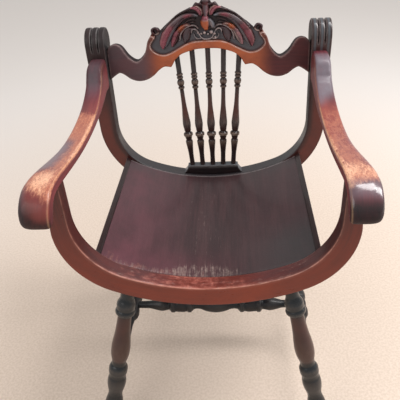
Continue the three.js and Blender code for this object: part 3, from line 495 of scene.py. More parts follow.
def left_arm_look(share, across, inner_line, end):
    """Values of the left arm's top: rubbed bare over the hand, with a painted grey reflection near the post
    and along the outer side, and painted shade on the hand's outer side and rolled-under end.
    """
    rubbed = ease(0.25, 0.34, share) * ease(0.945, 0.88, share + 0.025 * across)
    strip = ease(-0.1, 0.5, across) * ease(0.46, 0.56, share) * ease(0.79, 0.74, share)
    hand = hump(share, 0.85, 0.05) * ease(0.95, 0.2, np.abs(across + 0.1))
    past_hand = ease(0.84, 0.93, share)
    return rubbed, {
        "wear": 0.7 * rubbed * (1 - 0.85 * strip)
        - 0.3 * hump(share, 0.775, 0.022) * ease(-0.7, -0.2, across),
        "bare": 0.55 * hand + 0.4 * inner_line * ease(0.25, 0.4, share) * ease(0.8, 0.6, share) - 0.1,
        # Grey: a painted reflection near the post, on the outer strip and on the hand's outer side
        "cool": 0.6 * hump(share, 0.1, 0.075) * ease(0.9, 0.4, np.abs(across)) + 0.75 * strip
        + 0.4 * ease(0.35, 0.85, across) * past_hand,
        # Dark: darker near the post; on the hand's end, its outer side and its rolled-under tip a painted
        # shade
        "dark": 0.55 * ease(0.2, 0.08, share) + end * (0.15 + 0.85 * ease(-0.5, 0.5, across))
        + 0.9 * ease(0.955, 0.98, share) + 0.55 * ease(0.55, 0.95, across) * past_hand,
        "warm": 0.35 * ease(0.16, 0.3, share) + 0.2 * end,
        "gloss": -0.9 * end - 0.7 * ease(0.3, 0.2, share),
    }


def right_arm_look(share, across, inner_line, end):
    """Values of the right arm's top: a painted grey reflection near the post, rubbed along it, polished at
    the hand, with painted shade under the hand.
    """
    rubbed = ease(0.26, 0.36, share) * ease(0.915, 0.875, share + 0.015 * across)
    faint = 0.14 * ease(0.6, 0.4, share) + 0.2 * hump(share, 0.62, 0.16) * ease(-0.4, 0.5, across)
    polish = ease(0.83, 0.885, share) * ease(0.965, 0.935, share)
    return rubbed, {
        "wear": rubbed * (0.56 - faint) + 0.2 * hump(share, 0.87, 0.03),
        "bare": 0.4 * hump(share, 0.83, 0.05) + 0.3 * inner_line * ease(0.25, 0.4, share) - 0.15
        - 0.35 * ease(0.6, 0.45, share),
        # Grey: a painted reflection near the post, along the outer side and in a halo round the hand's
        # highlight
        "cool": 0.9 * ease(0.02, 0.07, share) * ease(0.3, 0.2, share + 0.04 * across)
        * ease(-1.0, -0.7, across)
        + 0.35 * ease(0.5, 0.9, across) * ease(0.4, 0.6, share) * ease(0.85, 0.75, share)
        + 0.5 * ease(0.865, 0.9, share) * ease(0.945, 0.92, share),
        # Dark: darker at the very back; the hand's rolled-under end gets painted shade
        "dark": 0.25 * ease(0.05, 0.0, share) + ease(0.925, 0.955, share),
        "warm": 0.7 * ease(0.22, 0.34, share) * ease(0.9, 0.87, share),
        "gloss": 2.2 * polish - 1.6 * ease(0.95, 0.985, share) - 0.45 * ease(0.4, 0.3, share),
    }


def arm_block(look):
    """One arm: a sawn bar whose section changes along it, with a fuller rounded end for the hand."""
    place, height, thick, wide, drawn = np.array(ARM_STATIONS).T
    back = rear_face(ARM_LOW + ARM_RISE) + 6.0
    middle = catmull(np.stack([back + (ARM_FRONT - back) * place, ARM_LOW + ARM_RISE * height], -1), 6)
    sizes = catmull(np.stack([
        ARM_THICK * thick, ARM_BACK + (ARM_WIDE - ARM_BACK) * wide, drawn * (ARM_WIDE - ARM_INNER)], -1), 6)
    along = np.gradient(middle, axis=0)
    along /= np.linalg.norm(along, axis=1)[:, None]
    run = run_length(middle)[:, None]
    share = run / run[-1]
    angle = 2 * np.pi * (np.arange(64) + 0.5) / 64
    # The outer half of the section rounds off towards the hand, and the inner arris stays crisp
    domed = ease(0.72, 0.9, share)
    power = 2 / np.where(np.cos(angle) < 0, 6.5 - 1.5 * domed, 5.0 - 2.3 * domed)
    across, rise = (np.sign(part) * np.abs(part) ** power for part in (np.cos(angle), np.sin(angle)))
    inner, outer = ARM_INNER + sizes[:, 2:], sizes[:, 1:2] - sizes[:, 2:]
    x = (inner + outer) / 2 + (outer - inner) / 2 * 0.98 * across
    lift = 0.975 * sizes[:, :1] * rise
    grid = np.stack([x, middle[:, :1] + along[:, 1:] * lift, middle[:, 1:] - along[:, :1] * lift], -1)
    top = ease(0.3, 0.8, rise)
    in_side, out_side = ease(-0.8, -0.98, across), ease(0.86, 0.99, across)
    inner_edge = hump(across, -0.95, 0.06) * ease(0.7, 0.95, rise)
    end = ease(0.9, 0.97, share)
    rubbed, values = look(share, across, hump(across, -0.8, 0.16) * top, end)
    values = {key: top * value for key, value in values.items()}
    values["wear"] += 0.25 * inner_edge * rubbed
    # Painted shade darkens the outer side, the underside and the hand's end below the top
    values["dark"] += (1 - top) * (0.65 * out_side + 0.6 * (1 - in_side) + 0.5 * end)
    values["warm"] += 0.2 * in_side
    values["gloss"] -= 1 - top
    values["edge"] = inner_edge * ease(0.03, 0.1, share) * (0.3 + 0.45 * ease(0.2, 0.35, share))
    return grid_block(grid, values | {"grain": np.stack([run + 0 * x, x - ARM_INNER, lift], -1)})


make("arm_right", [arm_block(right_arm_look)], arm_wood)
make("arm_left", [mirrored(arm_block(left_arm_look))], arm_wood)


# Crest

CREST_LOW, CREST_RISE, CREST_THICK, FIELD_DEPTH = 711.0, 198.0, 28.0, 8.0
# Lines as shares of the crest's half width and height; each list is one smooth run between sharp corners
CREST_UPPER = [
    [(1, 0.4), (0.969, 0.465), (0.918, 0.49), (0.867, 0.465), (0.788, 0.313), (0.709, 0.255), (0.626, 0.354),
     (0.583, 0.51), (0.559, 0.56)],
    [(0.559, 0.56), (0.54, 0.601), (0.54, 0.652), (0.512, 0.679), (0.48, 0.677), (0.453, 0.631)],
    [(0.453, 0.631), (0.394, 0.697), (0.268, 0.828), (0.126, 0.904)],
    [(0.126, 0.904), (0.094, 0.949), (0.059, 0.944), (0.035, 0.981), (0, 0.994)]]
CREST_LOWER = [
    [(0, 0.394), (0.11, 0.386), (0.197, 0.359), (0.268, 0.323), (0.323, 0.263), (0.354, 0.197),
     (0.37, 0.169)],
    [(0.37, 0.169), (0.437, 0.177), (0.488, 0.141), (0.559, 0.061), (0.63, 0.013), (0.709, 0), (0.787, 0.03),
     (0.85, 0.091), (0.894, 0.116), (0.941, 0.086), (1, 0.03)]]
FIELD = [
    (0, 0.49), (0.126, 0.482), (0.213, 0.449), (0.287, 0.399), (0.366, 0.348), (0.425, 0.326),
    (0.48, 0.336), (0.535, 0.381), (0.56, 0.43), (0.552, 0.475), (0.525, 0.52), (0.51, 0.56), (0.53, 0.65)]


def crest_run(shares, steps=10):
    return catmull(np.array(shares) * [REAR_BOW["inner"] - GAP, CREST_RISE] + [0, CREST_LOW], steps)


def crest_outline():
    """The outline, anticlockwise from the front, without points that nearly meet."""
    upper, lower = (np.vstack([*(crest_run(run)[:-1] for run in runs), crest_run(runs[-1])[-1:]])
                    for runs in (CREST_UPPER, CREST_LOWER))
    outline = np.vstack([upper, upper[-2::-1] * [-1, 1], lower[::-1] * [-1, 1], lower[1:]])
    return outline[np.append(True, np.linalg.norm(np.diff(outline, axis=0), axis=1) > 0.25)]


def line_distance(points, line, values=None):
    """Distance to a line, the side it lies on, the share along it, and a value kept at each of its points."""
    best = np.full(len(points), 1e9)
    side, share, kept = np.zeros((3, len(points)))
    run = run_length(line)
    for i in range(len(line) - 1):
        a, d = line[i], line[i + 1] - line[i]
        t = np.clip(((points - a) @ d) / max(d @ d, 1e-9), 0, 1)
        off = points - a - t[:, None] * d
        distance = np.hypot(off[:, 0], off[:, 1])
        near = distance < best
        best[near] = distance[near]
        side[near] = (d[0] * off[:, 1] - d[1] * off[:, 0])[near]
        share[near] = ((run[i] + t * (run[i + 1] - run[i])) / run[-1])[near]
        if values is not None:
            kept[near] = (values[i] + t * (values[i + 1] - values[i]))[near]
    return best, np.sign(side), share, kept


# Carved forms: kind, height over the sunk ground, then points along it as x, z and half width
LEAVES = [
    ("side", 8.5, [(-8, 893, 4), (-18, 896, 4.6), (-27, 893, 4), (-31, 888, 2)]),
    ("rim", 9.0, [(-108, 834, 1.8), (-97, 847, 2.6), (-85, 860, 3), (-72, 871, 3.4), (-58, 878, 3.6),
                  (-42, 883, 3.2), (-33, 886, 2.4)]),
    ("vein", 5.5, [(-26, 861, 1.2), (-38, 859, 1.9), (-50, 853, 1.8), (-57, 847, 1.2)]),
    ("vein", 5.5, [(-27, 853, 1.2), (-37, 852, 1.8), (-46, 849, 1.2)]),
    ("leaf", 11.5, [(-21, 868, 3.5), (-30, 870, 5), (-42, 869.5, 6.3), (-55, 866, 7.8), (-68, 858, 9.4),
                    (-80, 848, 10.8), (-90, 837, 12.4), (-98, 825, 13.4), (-104, 813, 12.8),
                    (-107.5, 804, 11.6), (-109, 797.5, 8.6), (-109.5, 794, 5)]),
    ("comma", 12.5, [(-35, 887, 3.6), (-28, 887.5, 6), (-20, 884, 7.6), (-14.5, 877.5, 7.4), (-13, 873, 6)]),
    ("gold", 10.5, [(-40, 846, 2.4), (-48, 847, 4), (-58, 842, 5.6), (-68, 833, 7), (-75, 822, 8.6),
                    (-80, 811, 8.2), (-84, 803, 6.4), (-86, 798, 4)]),
    ("dark", 7.0, [(-34, 838, 3), (-44, 834, 8), (-50, 824, 11), (-52, 814, 9.5), (-54, 807, 4)]),
    ("line", 9.0, [(-20, 838, 1.2), (-26, 844, 1.6), (-34, 845.5, 1.9), (-45, 843, 1.9), (-55, 836.5, 1.9),
                   (-62, 828.5, 1.9), (-66, 819, 1.9), (-67, 809, 1.7)]),
    ("curl", 9.5, [(-37, 828, 1.6), (-35.5, 834.5, 1.9), (-29, 837, 2.1), (-22, 831, 2.1), (-17, 822, 2.1),
                   (-12, 814.5, 2), (-4, 811.5, 1.9), (0, 811.5, 1.9)]),
    ("curl", 9.0, [(-31, 825, 1.4), (-28, 817, 1.7), (-22, 813, 1.7), (-15, 813.5, 1.4)]),
]
CENTRE = [
    ("stem", 12.5, [(0, 897, 7.5), (0, 886, 9.5), (0, 876, 9), (0, 869, 6)]),
    ("lobe", 12.0, [(9, 859, 3.6), (12, 853, 6), (14.5, 847, 7), (16, 842, 5.5)]),
    ("boss", 14.5, [(-1.5, 861, 9), (-1.5, 856, 12), (-1.5, 849, 13), (-1.5, 843, 10.5), (-1, 839, 7)]),
    ("finial", 13.5, [(0, 909, 5), (0, 903, 8.5), (0, 895, 7)]),
]
# Beads: x, z and radius
BEADS = [(-21, 828, 3.4), (-13, 825, 3.4), (-5, 827, 5), (3.5, 823, 3.6), (12, 828, 6), (20, 824, 3.8),
         (21, 816, 3.8)]
# Centres of the ear's hook and of the coil below it
EAR_X, EAR_Z, COIL_X, COIL_Z = 127, 836, 139, 815


def leaf_look(kind, u, signed, share, x, z):
    """Values of one carved form; signed runs from its outer edge, -1, to its inner edge, 1."""
    # Painted light on the carving: dark at each form's rim and along its creases is painted shade, its pale
    # edge lines are painted highlights and its grey is partly painted reflection
    rim = ease(0.72, 1.0, u)
    right = x > 0
    if kind == "leaf":
        low = ease(0.42, 0.62, share)
        blush = hump(share, 0.19, 0.1) * ease(0.9, 0.3, u)
        plain = (1 - low) * (1 - blush)
        return {
            "wear": (0.68 - 0.18 * right) * ease(0.6, 0.3, signed) * low + 0.85 * blush, "bare": -0.25,
            "warm": 0.4 * blush * right,
            "cool": 0.85 * ease(0.4, 0.65, signed) * low + 0.5 * ease(0.1, 0.02, share)
            + plain * (0.45 + 0.1 * right),
            "dark": 0.5 * rim + 0.5 * hump(signed, 0.47, 0.09) * low + 0.15 * plain * ease(-0.3, 0.6, signed),
            "edge": 0.2 * hump(signed, -0.75, 0.14) * ease(0.1, 0.4, share)
            + 0.25 * hump(signed, 0.82, 0.1) * right}
    if kind == "gold":
        glow = hump(share, 0.3, 0.13)
        low = ease(0.38, 0.55, share)
        return {
            "warm": 0.8 * glow, "wear": 0.6 * low * ease(0.8, -0.1, signed), "bare": -0.2 + 0.3 * right * low,
            "cool": 0.3 * low * right,
            "dark": 0.5 * rim * (1 - 0.5 * glow) + 0.45 * ease(0.1, 0.8, signed) * low,
            "edge": 0.5 * hump(signed, 0.5, 0.25) * ease(0.3, 0.5, share) * right
            + 0.5 * hump(share, 0.1, 0.08) * hump(signed, 0, 0.6)}
    crown = ease(854, 860, z)
    return {
        # The boss and lobe carry painted light: the boss's orange lower left is a painted highlight, its grey
        # right side and the grey lobe are painted reflection, and the dark rim on its left is painted shade
        "boss": {"wear": 0.85 * crown * ease(10, 3, x), "warm": (1 - crown) * ease(10, 3, x), "bare": -0.2,
                 "cool": 0.9 * ease(3, 10, x), "dark": 0.6 * rim * ease(8, 0, x),
                 "edge": 0.25 * hump(z, 857, 2) * ease(0.9, 0.6, u)},
        "lobe": {"cool": 0.85, "dark": 0.15 + 0.5 * rim, "edge": 0.3 * hump(signed, -0.3, 0.3)},
        "rim": {"dark": 0.85, "edge": 0.25 * hump(signed, -0.7, 0.2)},
        "side": {"dark": 0.75 + 0.2 * rim, "cool": 0.2 * ease(0.6, 0.1, u)},
        "vein": {"dark": 0.7, "cool": 0.3, "edge": 0.18 * hump(signed, -0.3, 0.3)},
        # The comma is painted lit on its upper side, with lighter wood and a pale painted highlight, and
        # painted shade on its lower side
        "comma": {"wear": 0.75 * ease(0.95, 0.5, u), "bare": -0.1 + 0.3 * ease(0.2, 0.8, signed),
                  "dark": 0.75 * ease(-0.1, -0.8, signed),
                  "edge": 0.6 * hump(signed, 0.75, 0.2) * ease(0.2, 0.5, share)},
        # The thin line and the curls are painted grey with pale painted highlights along their crests
        "line": {"edge": 0.45 * ease(1, 0.4, u), "cool": 0.8, "dark": 0.3 * rim},
        "dark": {"wear": 0.35 * hump(signed, -0.3, 0.3), "cool": 0.4 * ease(0.9, 0.3, u),
                 "dark": 0.35 + 0.4 * rim},
        "curl": {"edge": 0.5 * ease(1, 0.4, u), "cool": 1.0, "dark": 0.3 * rim},
        # The pink stripe down one side of the stem is a painted highlight; the finial's grey, pale top is a
        # painted highlight too
        "stem": {"wear": 0.65 * hump(signed, 0.25, 0.4), "cool": 0.5 * ease(0.8, 0.2, u),
                 "dark": 0.1 + 0.6 * rim},
        "finial": {"cool": 0.6 * ease(898, 906, z), "dark": 0.35 + 0.4 * rim,
                   "edge": 0.2 * ease(903, 908, z)},
    }[kind]


def carving(points):
    """Height of the crest's front over its flat face at each x, z, and its values."""
    x, z = points.T
    reach = np.abs(x)
    flipped = np.stack([-reach, z], -1)
    distance, side, _, _ = line_distance(flipped, crest_run(FIELD, 8) * [-1, 1])
    sunk = -distance * side
    inside = ease(-0.6, 1.6, sunk)
    flat = 1 - inside
    arch = flat * ease(172, 100, reach) * ease(838, 815, z)
    wing = flat * ease(120, 170, reach)
    fan = inside * ease(824, 842, z)
    # The sunk ground is darker, most in the fan round the centre, as painted shade in the recess; a pale
    # painted highlight runs along the field's lower border
    values = {
        "height": -FIELD_DEPTH * inside, "wear": 0.15 * arch, "bare": 0 * x, "warm": 0.95 * arch,
        "gloss": -0.3 * flat - 0.3 * fan,
        "dark": 0.4 * inside + 0.55 * fan + 0.2 * flat * ease(200, 250, reach)
        + 0.1 * wing * ease(790, 815, z),
        "cool": 0.85 * inside * ease(0, 7, sunk) * (1 - fan) + 0.3 * wing * (x < 0),
        "edge": 0.8 * hump(sunk, -1.0, 1.2) * (z < 838)}

    def cover(over, look):
        for key, value in look.items():
            values[key] = np.where(over, value, values[key])

    for kind, top, leaf in LEAVES + CENTRE:
        path = catmull(leaf, 7)
        at = points if (kind, top, leaf) in CENTRE else flipped
        away, turn, share, half = line_distance(at, path[:, :2], path[:, 2])
        u = np.clip(away / np.maximum(half, 0.1), 0, 1.2)
        signed = u * turn
        dome = np.maximum(1 - u**2, 0) ** 0.5
        if kind in ("leaf", "gold", "comma", "dark"):
            dome = np.maximum(1 - u**2.6, 0) ** 0.55 * (0.86 - 0.14 * np.clip(signed, -1, 1))
            dome *= 1 - 0.3 * hump(signed, 0.3, 0.13) * (half > 4.5)
        level = top * dome * ease(0, 0.3, half / path[:, 2].max() + 0.05) - FIELD_DEPTH
        look = dict.fromkeys(values, 0.0) | leaf_look(kind, u, signed, share, x, z) | {"height": level}
        cover((u < 1) & (level > values["height"]), look)
    for bead_x, bead_z, radius in BEADS:
        u = np.hypot(x - bead_x, z - bead_z) / radius
        level = -FIELD_DEPTH + 9 * np.sqrt(np.maximum(1 - u**2, 0))
        # Each bead is painted grey and pale on its crown as a highlight, with painted shade round its foot
        cover((u < 1) & (level > values["height"]), {
            "height": level, "dark": 0.6 * ease(0.7, 1, u), "edge": 0.7 * ease(0.95, 0.3, u), "cool": 1.0})
    # The ear: a hook that curls round a hollow, and a smaller coil on the shoulder below it. Painted shade
    # fills the hollow and the coil's middle, and pale painted highlights line the hook and the coil's upper
    # rim
    from_ear, up_ear = EAR_X - reach, z - EAR_Z
    ear, coil = np.hypot(from_ear, up_ear), np.degrees(np.arctan2(up_ear, from_ear))
    hook = np.sqrt(np.clip(1 - ((ear - 7.8) / 4.6) ** 2, 0, 1)) * ease(-75, -30, np.abs(coil + 60) - 100)
    cover(ear < 12.5, {
        "height": -FIELD_DEPTH + 1.5 + 9 * hook, "dark": 0.85 - 0.35 * hook,
        "cool": 0.25 * hook * ease(-2, 6, up_ear),
        "edge": 0.85 * hump(ear, 9.6, 1.6) * ease(60, 35, np.abs(coil + 55))})
    from_coil = COIL_X - reach
    small = np.hypot(from_coil, z - COIL_Z)
    values["height"] += 1.2 * flat * np.sqrt(np.clip(1 - (small / 9) ** 2, 0, 1))
    pale = 0.8 * flat * hump(small, 8.2, 1.2) * (z > 813 - 0.6 * from_coil)
    values["edge"] = np.maximum(values["edge"], pale)
    values["dark"] = np.maximum(values["dark"], 0.45 * flat * ease(9.5, 7, small))
    return values.pop("height"), values


def filled(flat, count):
    """Points and triangles that fill a closed line, the first count points, seen from the front."""
    made = delaunay_2d_cdt([Vector(p) for p in flat], [], [list(range(count))], 1, 1e-5)
    return np.array([tuple(v) for v in made[0]]), [list(t) for t in made[2]]


def crest_blocks():
    """The carved front over a fine net of points, the edge all round and the flat back."""
    front_round, back_round, back_fall = 2.2, 2.0, 6.5
    outline = crest_outline()
    closed = np.vstack([outline, outline[:1]])
    along = np.roll(outline, -1, 0) - np.roll(outline, 1, 0)
    along /= np.linalg.norm(along, axis=1)[:, None]
    outward = np.stack([along[:, 1], -along[:, 0]], -1)
    # A fine net of points where the rail is carved, and a coarse one over the rest
    fine, coarse, carved_half, carved_low, top = 1.3, 4.0, 150, 770, 912
    seeds = [(x, z) for x in np.arange(-carved_half, carved_half + 0.1, fine)
             for z in np.arange(carved_low, top, fine)]
    seeds += [(x, z) for x in np.arange(-252, 252.1, coarse) for z in np.arange(708, top, coarse)
              if not (abs(x) < carved_half - 1 and z > carved_low + 1)]
    seeds = np.array(seeds)
    distance, side, _, _ = line_distance(seeds, closed)
    rims = [outline - outward * inset for inset in (0.35, 0.9)]
    points, triangles = filled(np.vstack([outline, *rims, seeds[distance * side > 1.2]]), len(outline))
    height, values = carving(points)
    from_rim = line_distance(points, closed)[0]
    short = front_round - np.clip(from_rim, 0, front_round)
    height = height - (front_round - np.sqrt(np.maximum(front_round**2 - short**2, 0)))
    face = BACK_DEPTH - CREST_THICK / 2
    # A pale painted highlight runs round the wings' rounded rim
    values["edge"] += 0.22 * hump(from_rim, 1.2, 1.2) * (np.abs(points[:, 0]) > 140)
    values["grain"] = np.stack([*points.T, height], -1)
    front = (np.stack([points[:, 0], face - height, points[:, 1]], -1), triangles, values)
    start, back = face - carving(outline)[0] + front_round, face + CREST_THICK
    fall = back_fall * ease(772, 832, outline[:, 1])
    rings = [np.stack([outline[:, 0], start + (back - back_round - start) * t, outline[:, 1] - fall * t], -1)
             for t in (0, 0.25, 0.5, 0.75)]
    for angle in np.radians([0, 30, 60, 90]):
        inset = outline - outward * back_round * (1 - np.cos(angle)) * 0.9
        depth = np.full(len(outline), back - back_round * (1 - np.sin(angle)))
        rings.append(np.stack([inset[:, 0], depth, inset[:, 1] - fall], -1))
    grid = np.array(rings)[:, ::-1]
    run = np.broadcast_to(run_length(outline[::-1]), grid.shape[:2])
    edge = grid_block(grid, {
        "grain": np.stack([run, grid[..., 1], 0 * run], -1), "dark": 0.95, "gloss": -1.0,
        "edge": 0.15 * (np.arange(len(grid)) == 0)[:, None]}, caps=False)
    places, triangles = filled(grid[-1][:, [0, 2]], len(outline))
    flat = np.full(len(places), back)
    rear = turned_over((np.stack([places[:, 0], flat, places[:, 1]], -1), triangles, {
        "grain": np.stack([*places.T, 0 * flat], -1), "dark": 0.3}))
    return [back_leaned(block) for block in (front, edge, rear)]


make("crest_rail", crest_blocks(), crest_wood, sharp=50)


# Turned pieces


def turned_block(start, end, profile, sides, masks):
    """A turned piece on the line between two points; profile pairs give distance and radius."""
    curve = monotone(profile, 5)
    axis = (end - start) / np.linalg.norm(end - start)
    first = np.cross(axis, [0, 1.0, 0.1])
    first /= np.linalg.norm(first)
    angle = 2 * np.pi * np.arange(sides) / sides
    ring = np.cos(angle)[:, None] * first + np.sin(angle)[:, None] * np.cross(axis, first)
    along, radius = curve[:, :1], np.maximum(curve[:, 1:], 0.5)
    grid = start + along[..., None] * axis + radius[..., None] * ring
    if abs(axis[2]) > 0.3:
        # A slanting foot ends level on the floor
        grid = grid - axis * (np.minimum(grid[..., 2], 0) / axis[2])[..., None]
    # hollow and proud say how far the profile dips under or stands over its smoothed line, so the masks can
    # paint shade in the coves and highlights on the beads
    smooth = np.convolve(np.pad(radius[:, 0], 12, mode="edge"), np.ones(25) / 25, "valid")[:, None]
    values = masks(along, np.clip((smooth - radius) / 2.2, 0, 1), np.clip((radius - smooth) / 2.2, 0, 1))
    grain = np.broadcast_arrays(along, radius * np.cos(angle), radius * np.sin(angle))
    return grid_block(grid, values | {"grain": np.stack(grain, -1)})


# Turned profiles as shares of length and radius; the stretchers' run to their middle
LEG_SHARES = [
    (0, 0.565), (0.029, 0.65), (0.084, 0.8), (0.144, 0.955), (0.183, 0.98), (0.215, 0.92), (0.245, 0.8),
    (0.268, 0.74), (0.285, 0.76), (0.305, 0.83), (0.33, 0.935), (0.36, 0.985), (0.387, 0.95), (0.405, 0.89),
    (0.42, 0.91), (0.44, 0.98), (0.462, 0.98), (0.48, 0.86), (0.492, 0.73), (0.52, 0.77), (0.545, 0.88),
    (0.575, 0.96), (0.61, 0.975), (0.65, 0.92), (0.7, 0.81), (0.75, 0.74), (0.8, 0.7), (0.832, 0.69),
    (0.838, 0.84), (0.846, 0.97), (0.856, 0.99), (0.866, 0.93), (0.872, 0.87), (0.885, 0.91), (0.902, 0.92),
    (0.918, 0.84), (0.933, 0.72), (0.95, 0.65), (1, 0.65)]
SPINDLE_SHARES = [
    (0, 0.58), (0.06, 0.55), (0.1, 0.56), (0.14, 0.63), (0.18, 0.73), (0.214, 0.82), (0.224, 0.8),
    (0.235, 0.65), (0.246, 0.7), (0.257, 0.78), (0.267, 0.83), (0.277, 1.05), (0.291, 1.05), (0.301, 0.8),
    (0.309, 0.62), (0.317, 0.73), (0.34, 0.79), (0.36, 0.87), (0.38, 0.9), (0.4, 0.87), (0.43, 0.79),
    (0.46, 0.72), (0.5, 0.61), (0.54, 0.53), (0.6, 0.48), (0.672, 0.46), (0.681, 0.52), (0.687, 0.69),
    (0.697, 0.68), (0.703, 0.52), (0.718, 0.71), (0.735, 0.79), (0.75, 0.68), (0.76, 0.5), (0.769, 0.67),
    (0.779, 0.69), (0.786, 0.53), (0.794, 0.71), (0.803, 0.72), (0.811, 0.54), (0.85, 0.56), (1, 0.56)]
SIDE_SHARES = [
    (0, 0.42), (0.12, 0.46), (0.22, 0.5), (0.3, 0.48), (0.345, 0.47), (0.38, 0.56), (0.398, 0.64),
    (0.408, 0.8), (0.42, 0.94), (0.44, 1), (0.458, 0.97), (0.472, 0.88), (0.5, 0.92)]
CROSS_SHARES = [
    (0, 0.42), (0.09, 0.46), (0.13, 0.65), (0.17, 0.78), (0.19, 0.72), (0.212, 0.64), (0.22, 0.8),
    (0.229, 0.98), (0.242, 0.98), (0.252, 0.88), (0.275, 0.92), (0.3, 0.94), (0.322, 0.87), (0.333, 0.98),
    (0.346, 0.98), (0.356, 0.8), (0.367, 0.6), (0.385, 0.54), (0.405, 0.58), (0.43, 0.76), (0.46, 0.92),
    (0.5, 1)]
LEG_RADIUS, SIDE_RADIUS, CROSS_RADIUS, STRETCHER_HEIGHT, STRETCHER_STOP = 23.0, 20.0, 23.0, 143.0, 5.0
FRONT_LEG = {"top": (179.0, 22.0), "foot": (267.0, -50.0), "bow": FRONT_BOW}
REAR_LEG = {"top": (170.0, 466.0), "foot": (256.0, 506.0), "bow": REAR_BOW}
SPINDLE_RUN, SPINDLE_RADIUS, SPINDLE_FOOT_GAP, SPINDLE_TOP_GAP = 326.0, 12.0, 28.52, 39.98


def leg_top_height(leg):
    radius = leg["bow"]["radius"]
    return SEAT_HEIGHT - BOW_BAND + radius - np.sqrt(radius**2 - leg["top"][0] ** 2)


def leg_point(leg, height):
    top, foot = np.array(leg["top"]), np.array(leg["foot"])
    return np.array([*(foot + (top - foot) * height / leg_top_height(leg)), height])


def leg_block(leg):
    top, foot = leg_point(leg, leg_top_height(leg)), leg_point(leg, 0)
    length = np.linalg.norm(top - foot)
    profile = [(a * length, r * LEG_RADIUS) for a, r in LEG_SHARES]
    under_floor, into_bow = 14, 10
    profile = [(-under_floor, profile[0][1]), *profile, (length + into_bow, profile[-1][1])]

    def masks(along, hollow, proud):
        share = along / length
        vase = ease(0.495, 0.53, share) * ease(0.845, 0.82, share)
        lower = ease(0.28, 0.31, share) * ease(0.4, 0.38, share)
        # Dark is the rings' dark finish plus painted shade in the coves; their grey is partly a teal tint and
        # partly painted reflection, strongest on the beads, which get a faint pale painted highlight
        return {"warm": 0.5 * vase + 0.4 * vase * ease(0.62, 0.8, share) + 0.1 * lower,
                "dark": 0.8 - 0.62 * vase - 0.1 * lower + 0.45 * hollow,
                "cool": 0.45 * (1 - vase) * (0.4 + 0.6 * proud), "edge": 0.1 * proud, "gloss": -0.25}

    return turned_block(foot, top, profile, 40, masks)


def stretcher_block(start, end, shares, radius):
    stop = (end - start) / np.linalg.norm(end - start) * STRETCHER_STOP
    start, end = start + stop, end - stop
    length = np.linalg.norm(end - start)
    profile = [(a * length, r * radius) for a, r in shares + [(1 - a, r) for a, r in shares[-2::-1]]]

    def masks(along, hollow, proud):
        # Painted shade in the coves, a faint pale painted highlight and painted grey reflection on the beads
        return {"warm": 0.1, "dark": 0.82 + 0.4 * hollow, "edge": 0.05 * proud,
                "cool": 0.25 * proud, "gloss": -0.5}

    return turned_block(start, end, profile, 36, masks)


def spindle_at(place):
    """The spindle at a place from -2 to 2, whose top lies on the crest's arch."""
    foot_x, top_x = place * SPINDLE_FOOT_GAP, place * SPINDLE_TOP_GAP
    arch = crest_run(CREST_LOWER[0])
    top_z = np.interp(abs(top_x), arch[:, 0], arch[:, 1])
    foot = np.array([foot_x, BACK_DEPTH, BLOCK_TOP])
    top = np.array([foot_x + (top_x - foot_x) / SPINDLE_RUN * (top_z - BLOCK_TOP), BACK_DEPTH, top_z])
    length = np.linalg.norm(top - foot)
    profile = [(a * SPINDLE_RUN, r * SPINDLE_RADIUS) for a, r in SPINDLE_SHARES
               if a * SPINDLE_RUN < length - 14]

    def masks(along, hollow, proud):
        share = along / SPINDLE_RUN
        vase = ease(0.32, 0.36, share) * ease(0.68, 0.6, share)
        shaft = ease(0.81, 0.84, share)
        reddish = 0.35 if abs(place) == 1 else 0.75
        # Painted shade in the coves, pale painted highlights on the beads, a grey painted reflection round
        # the vase's widest part; darker towards the foot
        return {"warm": reddish * vase * ease(0.36, 0.5, share) + 0.3 + 0.3 * shaft * (place == 0),
                "dark": 0.3 - 0.2 * vase + 0.55 * hollow + 0.25 * ease(0.23, 0.1, share),
                "cool": 0.3 * vase * hump(share, 0.38, 0.05) + 0.25 * shaft,
                "edge": 0.6 * proud, "wear": 0.18 * vase, "gloss": -0.1}

    foot_tenon, top_tenon = (-6, 6.9), (length + 8, 6.7)
    return back_leaned(turned_block(foot, top, [foot_tenon, *profile, top_tenon], 28, masks))


for order in range(5):
    make(f"spindle_{order + 1}", [spindle_at(order - 2)], turned_wood)
make_pair("front_leg", leg_block(FRONT_LEG), turned_wood)
make_pair("rear_leg", leg_block(REAR_LEG), turned_wood)
side_front, side_rear = leg_point(FRONT_LEG, STRETCHER_HEIGHT), leg_point(REAR_LEG, STRETCHER_HEIGHT)
side_stretcher = stretcher_block(side_front, side_rear, SIDE_SHARES, SIDE_RADIUS)
make_pair("side_stretcher", side_stretcher, turned_wood)
side_middle = (side_front + side_rear) / 2
cross_stretcher = stretcher_block(side_middle * [-1, 1, 1], side_middle, CROSS_SHARES, CROSS_RADIUS)
make("cross_stretcher", [cross_stretcher], turned_wood)


# Seat

SEAT_FRONT_HALF, SEAT_REAR_HALF, SEAT_RUN = 243.0, 236.0, 408.0
PANEL_THICK, RAIL_WIDTH, RAIL_DEPTH = 12.0, 11.0, 26.0
BATTEN_HALF, BATTEN_DROP, BATTEN_HIGH, BATTEN_DEEP = 150.0, 12.8, 12.0, 16.0
REST_HALF, REST_HIGH, REST_FRONT, REST_DEEP = 82.0, 28.0, 455.0, 22.0


def seat_point(half, offset, shares):
    """Points of the seat's arc at shares of a half width, with an offset of its radius."""
    turn = np.arcsin(half / ARC_RADIUS) * shares
    radius = ARC_RADIUS + offset
    return radius * np.sin(turn), SEAT_HEIGHT + ARC_RADIUS - radius * np.cos(turn)


